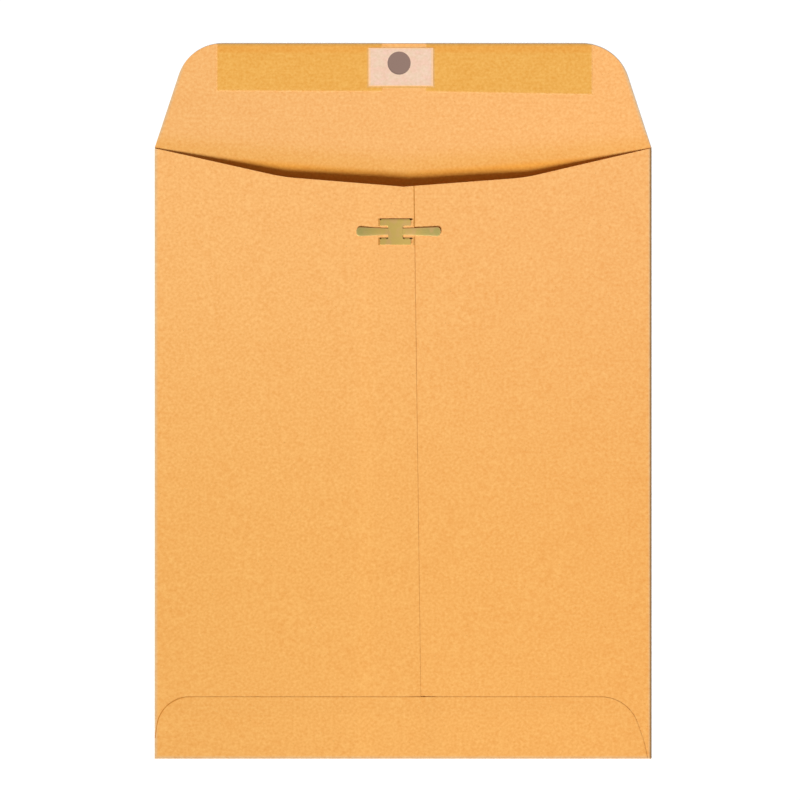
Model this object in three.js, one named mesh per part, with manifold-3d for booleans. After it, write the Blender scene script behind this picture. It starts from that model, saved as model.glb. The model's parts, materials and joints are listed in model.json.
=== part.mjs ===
// A clasp envelope that lies on its front panel with the clasp side up and the seal flap open.
// Lengths are in millimetres. X runs across the envelope, Y up towards the flap, Z up from the table.
// The sizes below are measured from the crease of the seal flap, where Y is 0, and from the table.

import * as THREE from 'three';
import { mergeVertices } from 'three/addons/utils/BufferGeometryUtils.js';
import Module from 'manifold-3d';

const wasm = await Module();
wasm.setup();

// Paper body
const bodyWidth = 247.65;
const bodyHeight = 304.8;
const paperThickness = 0.2;
const sideFoldHollow = 0.2; // inner height of the rolled side creases
const bottomFoldHollow = 0.4; // inner reach of the rolled bottom crease
const mouthRise = 5; // how far the back panels stand off the front panel at the middle of the mouth
const glueThickness = 0.05;
const glueClearance = 0.015; // on each side of a layer of glue

// Mouth of the pocket, cut into the top edge of the back panels
const shoulderDrop = 0.35; // where the cut starts at both sides
const mouthDepth = 19.55;
const mouthLowX = 0.3;
const leftKink = { x: -59.85, y: -14.64, radius: 90 };
const rightKink = { x: 60.85, y: -14.98, radius: 90 };

// Centre seam: the left back panel laps over the right one
const seamTopX = 5.5;
const seamBottomX = 9.3;
const lapMargin = 2.4; // from the clasp's slits to the hidden edge of the right back panel
const seamGlueMargin = 2;
const lapRun = 10; // width over which a sheet climbs onto the lap

// Bottom flap, glued over the back panels
const bottomFlapHeight = 30.9;
const leftFoot = { straight: 10.6, topInset: 3, radius: 16.2 };
const rightFoot = { inset: 1.9, bendInset: 3.6, bendRise: 8.7, topInset: 11.4, radius: 19.5 };
const bendRadius = 40;
const bottomGlueMargin = 3;
const bottomGlueWidth = 9;

// Seal flap with its two strips of gum, its patch and its hole
const flapBeyondHole = 9.7; // from the middle of the hole to the edge of the flap
const flapRootInset = { left: 0.05, right: 0.15 };
const flapSlant = { left: 17.1, right: 16.9 };
const flapCornerRadius = { left: 22.7, right: 24.2 };
const creaseGap = 0.3; // between the flap and the front panel, in the crease
const gumDepth = { left: { outer: 23.85, inner: 24.2 }, right: { inner: 24.3, outer: 25.7 } };
const gumThickness = 0.06;
const gumEndInset = { left: 13.55, right: 12.05 }; // from the corners of the flap
const gumUnderPatch = { left: 7.2, right: 4.2 }; // how far the strips run in under the patch
const patchWidth = 32.3;
const patchHeight = 19.15;
const patchThickness = 0.12;
const patchOffset = { x: 0.9, y: -1.95 }; // from the middle of the hole
const holeClearance = 2.95; // round the two prongs when they are bent up
const holeOffset = { x: 1.8, y: 0.2 }; // from the middle of the clasp, with the flap closed

// Clasp, one stamping of thin sheet metal
const metalThickness = 0.35;
const claspDistance = 42; // from the crease to the middle of the clasp
const claspHeight = 13;
const seamMargin = 0.6; // from the clasp's slits to the edge of the seam
const barWidth = 15.4;
const barHeight = 3.55;
const barCornerRadius = 0.5;
const waistWidth = 7.2;
const waistFillet = 0.9;
const tabLength = 2.6; // of the legs that are clinched inside the pocket
const tabInset = 0.6; // how much narrower the clinched legs are, at each end
const slitOverrun = { left: 0.2, right: 0.9 };
const slitClearance = 0.35;
const plateLift = 0.05; // between the clasp and the paper
const leftProngLength = 15.9;
const rightProngLength = 18.9;
const prongRootWidth = 3.25;
const prongTipWidth = 4.7;
const prongTipRadius = 1.9;
const prongRootGap = 0.3; // between a prong and the waist, in the bend

// Fineness of the curved surfaces
const columnWidth = 12;
const rowHeight = 24;
const creaseSteps = 8;
const curveSteps = 6;
const holeSteps = 32;

// Lines and levels that follow from the sizes
const halfWidth = bodyWidth / 2;
const bottomY = -bodyHeight;
const sideFoldRadius = paperThickness + sideFoldHollow / 2;
const panelHalfWidth = halfWidth - sideFoldRadius;
const bottomFoldReach = paperThickness + bottomFoldHollow;
const panelBottomY = bottomY + bottomFoldReach;
const layerGap = glueThickness + 2 * glueClearance; // between two sheets that lie on each other
const lapLift = paperThickness + layerGap;
const mouthLow = { x: mouthLowX, y: -mouthDepth };
const claspX = seamTopX - seamMargin - slitOverrun.right - barWidth / 2;
const hiddenEdgeX = claspX - barWidth / 2 - slitOverrun.left - lapMargin;
const holeX = claspX + holeOffset.x;
const holeDistance = claspDistance + holeOffset.y;
const holeDiameter = Math.hypot(waistWidth, prongTipWidth) + holeClearance;
const flapDepth = holeDistance + flapBeyondHole;
const patchX = holeX + patchOffset.x;
const patchY = holeDistance + patchOffset.y;

const paper = new THREE.MeshStandardMaterial({ color: 0xf9b86c, roughness: 0.85, metalness: 0 });
const paperInside = new THREE.MeshStandardMaterial({ color: 0xf7b266, roughness: 0.88, metalness: 0 });
const gum = new THREE.MeshStandardMaterial({ color: 0xefb054, roughness: 0.35, metalness: 0 });
const patchPaper = new THREE.MeshStandardMaterial({ color: 0xf1cfb5, roughness: 0.7, metalness: 0 });
const glue = new THREE.MeshStandardMaterial({ color: 0xd9a765, roughness: 0.5, metalness: 0 });
const brass = new THREE.MeshStandardMaterial({ color: 0xb99f5c, roughness: 0.35, metalness: 0.9 });

// A ramp from 0 at one place to 1 at another
function ramp(value, from, to) {
  return THREE.MathUtils.clamp((value - from) / (to - from), 0, 1);
}

// Underside of a sheet that lies straight on the hollow of the pocket: highest at the middle
// of the mouth, down to the creases at both sides and at the bottom
function pocketCeiling(x, y) {
  const across = Math.cos((Math.PI / 2) * ramp(Math.abs(x), 0, panelHalfWidth));
  const along = 1 - ramp(y, 0, panelBottomY) ** 2;
  return paperThickness + sideFoldHollow + mouthRise * across * along;
}

// What the lap of the centre seam adds to a sheet that climbs onto it from the left
function lapFromLeft(x) {
  return lapLift * ramp(x, hiddenEdgeX - lapRun, hiddenEdgeX - layerGap);
}

// The same for the bottom flap, which comes down again on the right of the seam
function lapFromBothSides(x) {
  return Math.min(lapFromLeft(x), lapLift * ramp(x, seamBottomX + lapRun, seamBottomX + layerGap));
}

// Evenly spaced places from one end to the other, with the named ones added
function stations(from, to, spacing, named) {
  const count = Math.ceil((to - from) / spacing);
  const even = Array.from({ length: count + 1 }, (_, i) => from + ((to - from) * i) / count);
  const kept = even.filter((place) => named.every((other) => Math.abs(other - place) > spacing / 4));
  return [...kept, ...named].sort((a, b) => a - b);
}

const columns = stations(-panelHalfWidth, panelHalfWidth, columnWidth, [
  -halfWidth,
  -panelHalfWidth,
  hiddenEdgeX - lapRun,
  hiddenEdgeX - layerGap,
  seamBottomX + layerGap,
  seamBottomX + lapRun,
  panelHalfWidth,
  halfWidth,
]);
const rows = stations(panelBottomY, 0, rowHeight, [panelBottomY, 0]);

// Closed geometry from corner points and triangles
function closedGeometry(points, triangles) {
  const geometry = new THREE.BufferGeometry();
  geometry.setAttribute('position', new THREE.Float32BufferAttribute(points, 3));
  geometry.setIndex(triangles);
  return geometry;
}

// A sheet over the whole body whose underside has the given height at each place
function fullSheet(undersideHeight, thickness) {
  const points = [];
  for (const lift of [0, thickness]) {
    for (const y of rows) {
      for (const x of columns) points.push(x, y, undersideHeight(x, y) + lift);
    }
  }
  const width = columns.length;
  const layer = width * rows.length;
  const triangles = [];
  const addQuad = (a, b, c, d) => triangles.push(a, b, c, a, c, d);
  for (let row = 0; row < rows.length - 1; row++) {
    for (let column = 0; column < width - 1; column++) {
      const corner = row * width + column;
      triangles.push(corner, corner + width + 1, corner + 1);
      triangles.push(corner, corner + width, corner + width + 1);
      triangles.push(layer + corner, layer + corner + 1, layer + corner + width + 1);
      triangles.push(layer + corner, layer + corner + width + 1, layer + corner + width);
    }
  }
  for (let column = 0; column < width - 1; column++) {
    const last = layer - width + column;
    addQuad(column, column + 1, layer + column + 1, layer + column);
    addQuad(last + 1, last, layer + last, layer + last + 1);
  }
  for (let row = 0; row < rows.length - 1; row++) {
    const left = row * width;
    const right = left + width - 1;
    addQuad(left + width, left, layer + left, layer + left + width);
    addQuad(right, right + width, layer + right + width, layer + right);
  }
  return closedGeometry(points, triangles);
}

// A solid for joining and cutting, with its corners rounded so that flush faces meet exactly
const roundingStep = 0.001;

function toSolid(geometry) {
  const bare = geometry.clone();
  bare.deleteAttribute('normal');
  bare.deleteAttribute('uv');
  const places = bare.attributes.position.array;
  places.forEach((value, i) => {
    places[i] = Math.round(value / roundingStep) * roundingStep;
  });
  const merged = mergeVertices(bare);
  const vertProperties = new Float32Array(merged.attributes.position.array);
  const triVerts = new Uint32Array(merged.index.array);
  return new wasm.Manifold(new wasm.Mesh({ numProp: 3, vertProperties, triVerts }));
}

function toGeometry(solid) {
  const mesh = solid.getMesh();
  const geometry = new THREE.BufferGeometry();
  geometry.setAttribute('position', new THREE.BufferAttribute(mesh.vertProperties, 3));
  geometry.setIndex(new THREE.BufferAttribute(mesh.triVerts, 1));
  geometry.computeVertexNormals();
  return geometry;
}

// An outline of corners, each with its own rounding where it has a radius
function roundedOutline(corners) {
  const path = new THREE.Shape();
  corners.forEach((corner, i) => {
    const here = new THREE.Vector2(corner.x, corner.y);
    const before = corners[(i + corners.length - 1) % corners.length];
    const after = corners[(i + 1) % corners.length];
    const back = new THREE.Vector2(before.x, before.y).sub(here);
    const ahead = new THREE.Vector2(after.x, after.y).sub(here);
    const room = Math.min(back.length(), ahead.length()) / 2;
    back.normalize();
    ahead.normalize();
    const halfAngle = Math.acos(THREE.MathUtils.clamp(back.dot(ahead), -1, 1)) / 2;
    const setback = Math.min((corner.radius ?? 0) / Math.tan(halfAngle), room);
    const start = back.clone().multiplyScalar(setback).add(here);
    if (i === 0) path.moveTo(start.x, start.y);
    else path.lineTo(start.x, start.y);
    if (setback === 0) return;
    const radius = setback * Math.tan(halfAngle);
    const centre = back.clone().add(ahead).normalize();
    centre.multiplyScalar(radius / Math.sin(halfAngle)).add(here);
    const end = ahead.clone().multiplyScalar(setback).add(here);
    const startAngle = Math.atan2(start.y - centre.y, start.x - centre.x);
    const endAngle = Math.atan2(end.y - centre.y, end.x - centre.x);
    path.absarc(centre.x, centre.y, radius, startAngle, endAngle, back.cross(ahead) > 0);
  });
  return path;
}

function extruded(outline, height, level) {
  const geometry = new THREE.ExtrudeGeometry(outline, {
    depth: height,
    bevelEnabled: false,
    curveSegments: curveSteps,
  });
  return geometry.translate(0, 0, level);
}

function rectangle(left, right, low, high) {
  return new THREE.Shape([
    new THREE.Vector2(left, low),
    new THREE.Vector2(right, low),
    new THREE.Vector2(right, high),
    new THREE.Vector2(left, high),
  ]);
}

// The part of a full sheet inside an outline
const cutterDepth = 60;

function sheetInside(outline, undersideHeight, thickness) {
  const cutter = toSolid(extruded(outline, cutterDepth, -cutterDepth / 2));
  return toSolid(fullSheet(undersideHeight, thickness)).intersect(cutter);
}

const envelope = new THREE.Group();
envelope.position.y = (bodyHeight - flapDepth) / 2;

function addPiece(name, geometry, material, parent = envelope) {
  const mesh = new THREE.Mesh(geometry, material.clone());
  mesh.name = name;
  parent.add(mesh);
  return mesh;
}

// Front panel, which carries the address and lies on the table
const frontOutline = rectangle(-panelHalfWidth, panelHalfWidth, panelBottomY, -creaseGap / 2);
addPiece('front_panel', extruded(frontOutline, paperThickness, 0), paperInside);

// Side folds: the sheet rolls over from the front panel to the back panels
function sideFold(side) {
  const section = new THREE.Shape();
  section.absarc(0, sideFoldRadius, sideFoldRadius, -Math.PI / 2, Math.PI / 2, false);
  section.absarc(0, sideFoldRadius, sideFoldHollow / 2, Math.PI / 2, -Math.PI / 2, true);
  const length = -shoulderDrop - panelBottomY;
  const geometry = new THREE.ExtrudeGeometry(section, {
    depth: length,
    bevelEnabled: false,
    curveSegments: creaseSteps,
  });
  geometry.rotateX(Math.PI / 2);
  geometry.translate(0, -shoulderDrop, 0);
  if (side < 0) geometry.rotateZ(Math.PI).translate(0, -length - 2 * shoulderDrop, 0);
  return geometry.translate(side * panelHalfWidth, 0, 0);
}

addPiece('left_side_fold', sideFold(-1), paper);
addPiece('right_side_fold', sideFold(1), paper);

// Height of a point on the straight line through a kink of the mouth and its lowest point
function mouthLine(kink, x) {
  return kink.y + ((mouthLow.y - kink.y) * (x - kink.x)) / (mouthLow.x - kink.x);
}

// Levels of the paper under the clasp, which is flat where the paper is slightly crowned
const claspTopY = -claspDistance + claspHeight / 2;
const claspBottomY = -claspDistance - claspHeight / 2;
const footprintLevels = [claspTopY, claspBottomY].flatMap((y) =>
  [claspX - barWidth / 2, claspX + barWidth / 2, 0].map((x) => pocketCeiling(x, y)),
);
const plateLevel = Math.max(...footprintLevels) + lapLift + paperThickness + plateLift;
const legLevel = Math.min(...footprintLevels) - plateLift;

// Slits in the paper through which the clasp's legs go inside
const barTops = [claspTopY, claspBottomY + barHeight];
const bendInnerRadius = (plateLevel - legLevel) / 2;
const bendOuterRadius = bendInnerRadius + metalThickness;

function cutSlits(solid) {
  return barTops.reduce((rest, barTop) => {
    const slit = rectangle(
      claspX - barWidth / 2 - slitOverrun.left,
      claspX + barWidth / 2 + slitOverrun.right,
      barTop - bendOuterRadius,
      barTop + slitClearance,
    );
    return rest.subtract(toSolid(extruded(slit, cutterDepth, -cutterDepth / 2)));
  }, solid);
}

// Back panels: the right one first, then the left one, which laps over it
const backBottomY = panelBottomY + creaseGap;
const rightOutline = roundedOutline([
  { x: hiddenEdgeX, y: backBottomY },
  { x: panelHalfWidth, y: backBottomY },
  { x: panelHalfWidth, y: -shoulderDrop },
  rightKink,
  { x: hiddenEdgeX, y: mouthLine(rightKink, hiddenEdgeX) },
]);
const leftOutline = roundedOutline([
  { x: -panelHalfWidth, y: backBottomY },
  { x: seamBottomX, y: backBottomY },
  { x: seamTopX, y: mouthLine(rightKink, seamTopX) },
  mouthLow,
  leftKink,
  { x: -panelHalfWidth, y: -shoulderDrop },
]);
const leftPanelUnderside = (x, y) => pocketCeiling(x, y) + lapFromLeft(x);
const rightPanel = cutSlits(sheetInside(rightOutline, pocketCeiling, paperThickness));
const leftPanel = cutSlits(sheetInside(leftOutline, leftPanelUnderside, paperThickness));
addPiece('right_back_panel', toGeometry(rightPanel), paper);
addPiece('left_back_panel', toGeometry(leftPanel), paper);

// Line of glue in the centre seam
const seamGlueOutline = rectangle(
  hiddenEdgeX + seamGlueMargin,
  seamTopX - seamGlueMargin,
  backBottomY,
  -mouthDepth - seamGlueMargin,
);
const seamGlueUnderside = (x, y) => pocketCeiling(x, y) + paperThickness + glueClearance;
const seamGlue = cutSlits(sheetInside(seamGlueOutline, seamGlueUnderside, glueThickness));
addPiece('centre_seam_glue', toGeometry(seamGlue), glue);

// Bottom flap, turned up from the front panel over both back panels
const bottomFlapUnderside = (x, y) =>
  pocketCeiling(x, y) + paperThickness + layerGap + lapFromBothSides(x);
const bottomFlapTopY = bottomY + bottomFlapHeight;

function bottomFlapOutline(margin, depth) {
  return roundedOutline([
    { x: -halfWidth + margin, y: depth },
    { x: halfWidth - rightFoot.inset - margin, y: depth },
    { x: halfWidth - rightFoot.bendInset - margin, y: bottomY + rightFoot.bendRise, radius: bendRadius },
    { x: halfWidth - rightFoot.topInset - margin, y: bottomFlapTopY - margin, radius: rightFoot.radius },
    { x: -halfWidth + leftFoot.topInset + margin, y: bottomFlapTopY - margin, radius: leftFoot.radius },
    { x: -halfWidth + margin, y: bottomY + leftFoot.straight },
  ]);
}

const bottomFlapBody = bottomFlapOutline(0, panelBottomY);
const bottomFlap = sheetInside(bottomFlapBody, bottomFlapUnderside, paperThickness);
addPiece('bottom_flap', toGeometry(bottomFlap), paper);

// Band of glue along the edge of the bottom flap
const bottomGlueUnderside = (x, y) => bottomFlapUnderside(x, y) - glueClearance - glueThickness;
const bottomGlueFoot = backBottomY + bottomGlueMargin;
const bottomGlueOuter = bottomFlapOutline(bottomGlueMargin, bottomGlueFoot);
const bottomGlueInner = bottomFlapOutline(bottomGlueMargin + bottomGlueWidth, panelBottomY);
const bottomGlueSheet = sheetInside(bottomGlueOuter, bottomGlueUnderside, glueThickness);
const innerCutter = toSolid(extruded(bottomGlueInner, cutterDepth, -cutterDepth / 2));
addPiece('bottom_flap_glue', toGeometry(bottomGlueSheet.subtract(innerCutter)), glue);

// Bottom fold: the crease that rolls from the front panel up to the bottom flap
function bottomFold() {
  const points = [];
  for (const x of columns) {
    const halfHeight = (bottomFlapUnderside(x, panelBottomY) + paperThickness) / 2;
    for (const wall of [0, paperThickness]) {
      for (let step = 0; step <= creaseSteps; step++) {
        const turn = ((wall === 0 ? step : creaseSteps - step) / creaseSteps) * Math.PI;
        const reach = (bottomFoldReach - wall) * Math.sin(turn);
        points.push(x, panelBottomY - reach, halfHeight - (halfHeight - wall) * Math.cos(turn));
      }
    }
  }
  const ring = 2 * (creaseSteps + 1);
  const last = (columns.length - 1) * ring;
  const triangles = [];
  for (let start = 0; start < last; start += ring) {
    for (let i = 0; i < ring; i++) {
      const next = (i + 1) % ring;
      triangles.push(start + i, start + ring + next, start + next);
      triangles.push(start + i, start + ring + i, start + ring + next);
    }
  }
  for (let i = 0; i < creaseSteps; i++) {
    const inner = ring - 1 - i;
    triangles.push(i, inner - 1, inner, i, i + 1, inner - 1);
    triangles.push(last + i, last + inner, last + inner - 1, last + i, last + inner - 1, last + i + 1);
  }
  return closedGeometry(points, triangles);
}

addPiece('bottom_fold', bottomFold(), paper);

// Seal flap, hinged on the crease at the top of the front panel
const flapLeft = -halfWidth + flapRootInset.left + flapSlant.left;
const flapRight = halfWidth - flapRootInset.right - flapSlant.right;
const flapOutline = () =>
  roundedOutline([
    { x: -halfWidth + flapRootInset.left, y: creaseGap / 2 },
    { x: halfWidth - flapRootInset.right, y: creaseGap / 2 },
    { x: flapRight, y: flapDepth, radius: flapCornerRadius.right },
    { x: flapLeft, y: flapDepth, radius: flapCornerRadius.left },
  ]);

function fastenerHole() {
  const circle = new THREE.Shape();
  circle.absarc(holeX, holeDistance, holeDiameter / 2, 0, 2 * Math.PI, false);
  const geometry = new THREE.ExtrudeGeometry(circle, {
    depth: cutterDepth,
    bevelEnabled: false,
    curveSegments: holeSteps,
  });
  return toSolid(geometry.translate(0, 0, -cutterDepth / 2));
}

const flapSheet = toSolid(extruded(flapOutline(), paperThickness, 0)).subtract(fastenerHole());
addPiece('seal_flap', toGeometry(flapSheet), paperInside);

function gumStrip(from, to, depthFrom, depthTo) {
  const outline = new THREE.Shape([
    new THREE.Vector2(from, flapDepth - depthFrom),
    new THREE.Vector2(to, flapDepth - depthTo),
    new THREE.Vector2(to, flapDepth + depthTo),
    new THREE.Vector2(from, flapDepth + depthFrom),
  ]);
  const onFlap = toSolid(extruded(flapOutline(), gumThickness, paperThickness));
  return onFlap.intersect(toSolid(extruded(outline, cutterDepth, -cutterDepth / 2)));
}

const gumLeft = gumStrip(
  flapLeft + gumEndInset.left,
  patchX - patchWidth / 2 + gumUnderPatch.left,
  gumDepth.left.outer,
  gumDepth.left.inner,
);
const gumRight = gumStrip(
  patchX + patchWidth / 2 - gumUnderPatch.right,
  flapRight - gumEndInset.right,
  gumDepth.right.inner,
  gumDepth.right.outer,
);
addPiece('flap_gum_left', toGeometry(gumLeft), gum);
addPiece('flap_gum_right', toGeometry(gumRight), gum);

const patchOutline = rectangle(
  patchX - patchWidth / 2,
  patchX + patchWidth / 2,
  patchY - patchHeight / 2,
  patchY + patchHeight / 2,
);
const patchSheet = toSolid(extruded(patchOutline, patchThickness, paperThickness + gumThickness));
addPiece('hole_patch', toGeometry(patchSheet.subtract(fastenerHole())), patchPaper);

// Clasp plate: two bars joined by a waist, each bar folded through its slit and clinched inside
const barHalf = barWidth / 2;
const waistHalf = waistWidth / 2;
const topBarFlat = barTops[0] - bendOuterRadius;
const bottomBarFlat = barTops[1] - bendOuterRadius;
const plateCorners = [
  { x: barHalf, y: claspBottomY, radius: barCornerRadius },
  { x: barHalf, y: bottomBarFlat },
  { x: waistHalf, y: bottomBarFlat, radius: waistFillet },
  { x: waistHalf, y: claspTopY - barHeight, radius: waistFillet },
  { x: barHalf, y: claspTopY - barHeight, radius: barCornerRadius },
  { x: barHalf, y: topBarFlat },
];
const mirrored = plateCorners.map((corner) => ({ ...corner, x: -corner.x })).reverse();
const plateOutline = roundedOutline([...plateCorners, ...mirrored]);
const plate = toSolid(extruded(plateOutline, metalThickness, plateLevel).translate(claspX, 0, 0));

// Hairpin of a tab: down through the slit and back under the paper, as a section along X
function clinchedTab(barTop, from, to) {
  const section = new THREE.Shape();
  const bendY = barTop - bendOuterRadius;
  const bendZ = plateLevel - bendInnerRadius;
  section.moveTo(bendY - tabLength, bendZ - bendOuterRadius);
  section.absarc(bendY, bendZ, bendOuterRadius, -Math.PI / 2, Math.PI / 2, false);
  section.lineTo(bendY - metalThickness, bendZ + bendOuterRadius);
  section.lineTo(bendY - metalThickness, bendZ + bendInnerRadius);
  section.absarc(bendY, bendZ, bendInnerRadius, Math.PI / 2, -Math.PI / 2, true);
  section.lineTo(bendY - tabLength, bendZ - bendInnerRadius);
  const geometry = new THREE.ExtrudeGeometry(section, {
    depth: to - from,
    bevelEnabled: false,
    curveSegments: creaseSteps,
  });
  geometry.rotateX(Math.PI / 2).rotateZ(Math.PI / 2);
  return toSolid(geometry.translate(claspX + from, 0, 0));
}

const tabStart = waistHalf + waistFillet;
const tabEnd = barHalf - tabInset;
const claspPlate = plate
  .add(clinchedTab(barTops[0], -tabEnd, tabEnd))
  .add(clinchedTab(barTops[1], -tabEnd, -tabStart))
  .add(clinchedTab(barTops[1], tabStart, tabEnd));
addPiece('clasp_base', toGeometry(claspPlate), brass);

// Prongs: they lie spread flat, and bend up at the waist to go through the hole of the flap
function prong(side, length) {
  const root = prongRootGap;
  const outline = roundedOutline([
    { x: root, y: -prongRootWidth / 2 },
    { x: length, y: -prongTipWidth / 2, radius: prongTipRadius },
    { x: length, y: prongTipWidth / 2, radius: prongTipRadius },
    { x: root, y: prongRootWidth / 2 },
  ]);
  const geometry = extruded(outline, metalThickness, 0);
  if (side < 0) geometry.rotateZ(Math.PI);
  return geometry;
}

function addProng(name, side, length) {
  const mesh = addPiece(name, prong(side, length), brass);
  mesh.position.set(claspX + side * waistHalf, -claspDistance, plateLevel);
}

addProng('left_prong', -1, leftProngLength);
addProng('right_prong', 1, rightProngLength);

export default envelope;
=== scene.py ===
# %% [markdown]
# # A kraft paper clasp envelope
# The envelope lies face down with its seal flap open. Almost all of it is one sheet of kraft paper, cut and
# folded. On it are two strips of dried gum, a pale patch round the hole of the flap, and one brass clasp.
# Every piece is made here as a thin closed mesh at its real size, in metres. Most ride on a body of the
# imported model: the back panels, the rolls, the bottom flap and the clasp's plate and legs on the pocket, the
# gum strips and the patch on the flap. The sheet of the front panel and flap and the two prongs ride on none.

# %% Load the imported model
import json
import math

import bmesh
import bpy
import numpy as np
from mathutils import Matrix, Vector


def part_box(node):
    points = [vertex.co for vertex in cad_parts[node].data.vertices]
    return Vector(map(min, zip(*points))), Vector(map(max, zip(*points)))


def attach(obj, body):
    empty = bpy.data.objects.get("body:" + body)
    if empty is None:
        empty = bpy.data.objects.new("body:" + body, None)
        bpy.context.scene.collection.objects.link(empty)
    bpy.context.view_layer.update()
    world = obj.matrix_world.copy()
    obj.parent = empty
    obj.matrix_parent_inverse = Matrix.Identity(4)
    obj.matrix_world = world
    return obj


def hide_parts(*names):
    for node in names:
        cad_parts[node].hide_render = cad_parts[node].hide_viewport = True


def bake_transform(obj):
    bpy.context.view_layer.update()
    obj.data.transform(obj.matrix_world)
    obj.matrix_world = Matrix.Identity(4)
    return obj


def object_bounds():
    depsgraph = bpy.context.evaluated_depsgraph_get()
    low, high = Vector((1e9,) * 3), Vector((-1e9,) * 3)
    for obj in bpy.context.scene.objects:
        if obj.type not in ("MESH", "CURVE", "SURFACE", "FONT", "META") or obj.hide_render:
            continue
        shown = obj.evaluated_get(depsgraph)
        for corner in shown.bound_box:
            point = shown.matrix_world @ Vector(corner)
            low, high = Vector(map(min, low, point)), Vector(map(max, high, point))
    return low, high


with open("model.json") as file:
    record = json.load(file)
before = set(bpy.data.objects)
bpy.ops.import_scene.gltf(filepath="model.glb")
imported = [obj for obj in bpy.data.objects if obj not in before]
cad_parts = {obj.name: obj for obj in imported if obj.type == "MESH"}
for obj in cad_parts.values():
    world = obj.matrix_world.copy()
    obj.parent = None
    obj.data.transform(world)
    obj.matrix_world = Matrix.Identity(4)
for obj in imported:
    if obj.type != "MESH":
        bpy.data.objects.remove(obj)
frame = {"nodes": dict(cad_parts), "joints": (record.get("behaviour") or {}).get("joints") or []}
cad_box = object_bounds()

# %% [markdown]
# ## Camera
# The picture looks straight down on the envelope from far away, so its edges stay parallel. A long lens on a
# high camera does the same and still lets other views be framed. The width of the view fixes the height of
# the camera, and the middle of the picture lies a little left of and above the middle of the envelope.

# %% Camera straight above
MM = 0.001
VIEW_WIDTH = 399.0 * MM
VIEW_CENTRE = (-1.45 * MM, 0.61 * MM)
LENS = 600.0
SENSOR = 36.0

camera_data = bpy.data.cameras.new("camera")
camera_data.lens = LENS
camera_data.sensor_width = SENSOR
camera = bpy.data.objects.new("camera", camera_data)
bpy.context.scene.collection.objects.link(camera)
camera_height = VIEW_WIDTH * LENS / SENSOR
camera.location = (*VIEW_CENTRE, camera_height)
bpy.context.scene.camera = camera
bpy.context.scene.view_settings.view_transform = "Standard"
print(f"camera {camera_height:.3f} m above the table")

# %% [markdown]
# ## Light
# One soft lamp stands beyond the lower edge, a little to the left and almost half way up the sky. It is wide
# enough for the shadow in the mouth of the pocket to fade over a few millimetres. A dim, warm sky fills the
# shadows, as walls of kraft paper would, and the lamp is a little cooler to make up for it. The two together
# light level white paper to exactly white, so each colour renders about as it is written. Where the sky is
# seen directly or mirrored it is white, like the wall of a studio.

# %% Key lamp and sky
KEY_SHARE = 0.78
KEY_ELEVATION = math.radians(41.5)
KEY_AZIMUTH = math.radians(28)  # from the lower edge towards the left
KEY_SOFTNESS = math.radians(22)
SKY_TINT = (1.0, 0.68, 0.38)
MIX_FIRST, MIX_SECOND, MIX_RESULT = 6, 7, 2  # the sockets that a Mix node has for colours

key_data = bpy.data.lights.new("key", "SUN")
key_data.energy = KEY_SHARE * math.pi / math.sin(KEY_ELEVATION)
key_data.color = [(1 - (1 - KEY_SHARE) * tint) / KEY_SHARE for tint in SKY_TINT]
key_data.angle = KEY_SOFTNESS
key = bpy.data.objects.new("key", key_data)
key.rotation_euler = (math.pi / 2 - KEY_ELEVATION, 0, -KEY_AZIMUTH)
bpy.context.scene.collection.objects.link(key)


def seen_directly(nodes, links):
    """1 for rays that come from the camera, a mirror or glass, and 0 for those that light the object."""
    path = nodes.new("ShaderNodeLightPath")
    total = path.outputs["Is Camera Ray"]
    for ray in ("Is Glossy Ray", "Is Transmission Ray"):
        either = nodes.new("ShaderNodeMath")
        either.operation = "MAXIMUM"
        links.new(total, either.inputs[0])
        links.new(path.outputs[ray], either.inputs[1])
        total = either.outputs[0]
    return total


sky = bpy.data.worlds.new("sky")
sky.use_nodes = True
bpy.context.scene.world = sky
sky_nodes, sky_links = sky.node_tree.nodes, sky.node_tree.links
sky_light = sky_nodes.new("ShaderNodeMix")
sky_light.data_type = "RGBA"
sky_light.inputs[MIX_FIRST].default_value = (*((1 - KEY_SHARE) * tint for tint in SKY_TINT), 1)
sky_light.inputs[MIX_SECOND].default_value = (1, 1, 1, 1)
sky_links.new(seen_directly(sky_nodes, sky_links), sky_light.inputs[0])
sky_links.new(sky_light.outputs[MIX_RESULT], sky_nodes["Background"].inputs["Color"])
print(f"key lamp {key_data.energy:.2f} W/m2, sky {1 - KEY_SHARE:.2f}")

# %% [markdown]
# ## Helpers for the finishes
# Every finish is built from a few nodes, and all of them start from the place of a point on the piece, in
# metres. A noise is asked for by the size of its spots in millimetres, across and along, which keeps each
# finish at its real scale. Colours are written as they look, from 0 to 255, and turned into light values.


# %% Node helpers
def colour(red, green, blue):
    """A colour as it looks on a screen, as the linear values that a shader works with."""
    def linear(value):
        value /= 255
        return value / 12.92 if value <= 0.04045 else ((value + 0.055) / 1.055) ** 2.4
    return (linear(red), linear(green), linear(blue), 1.0)


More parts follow.
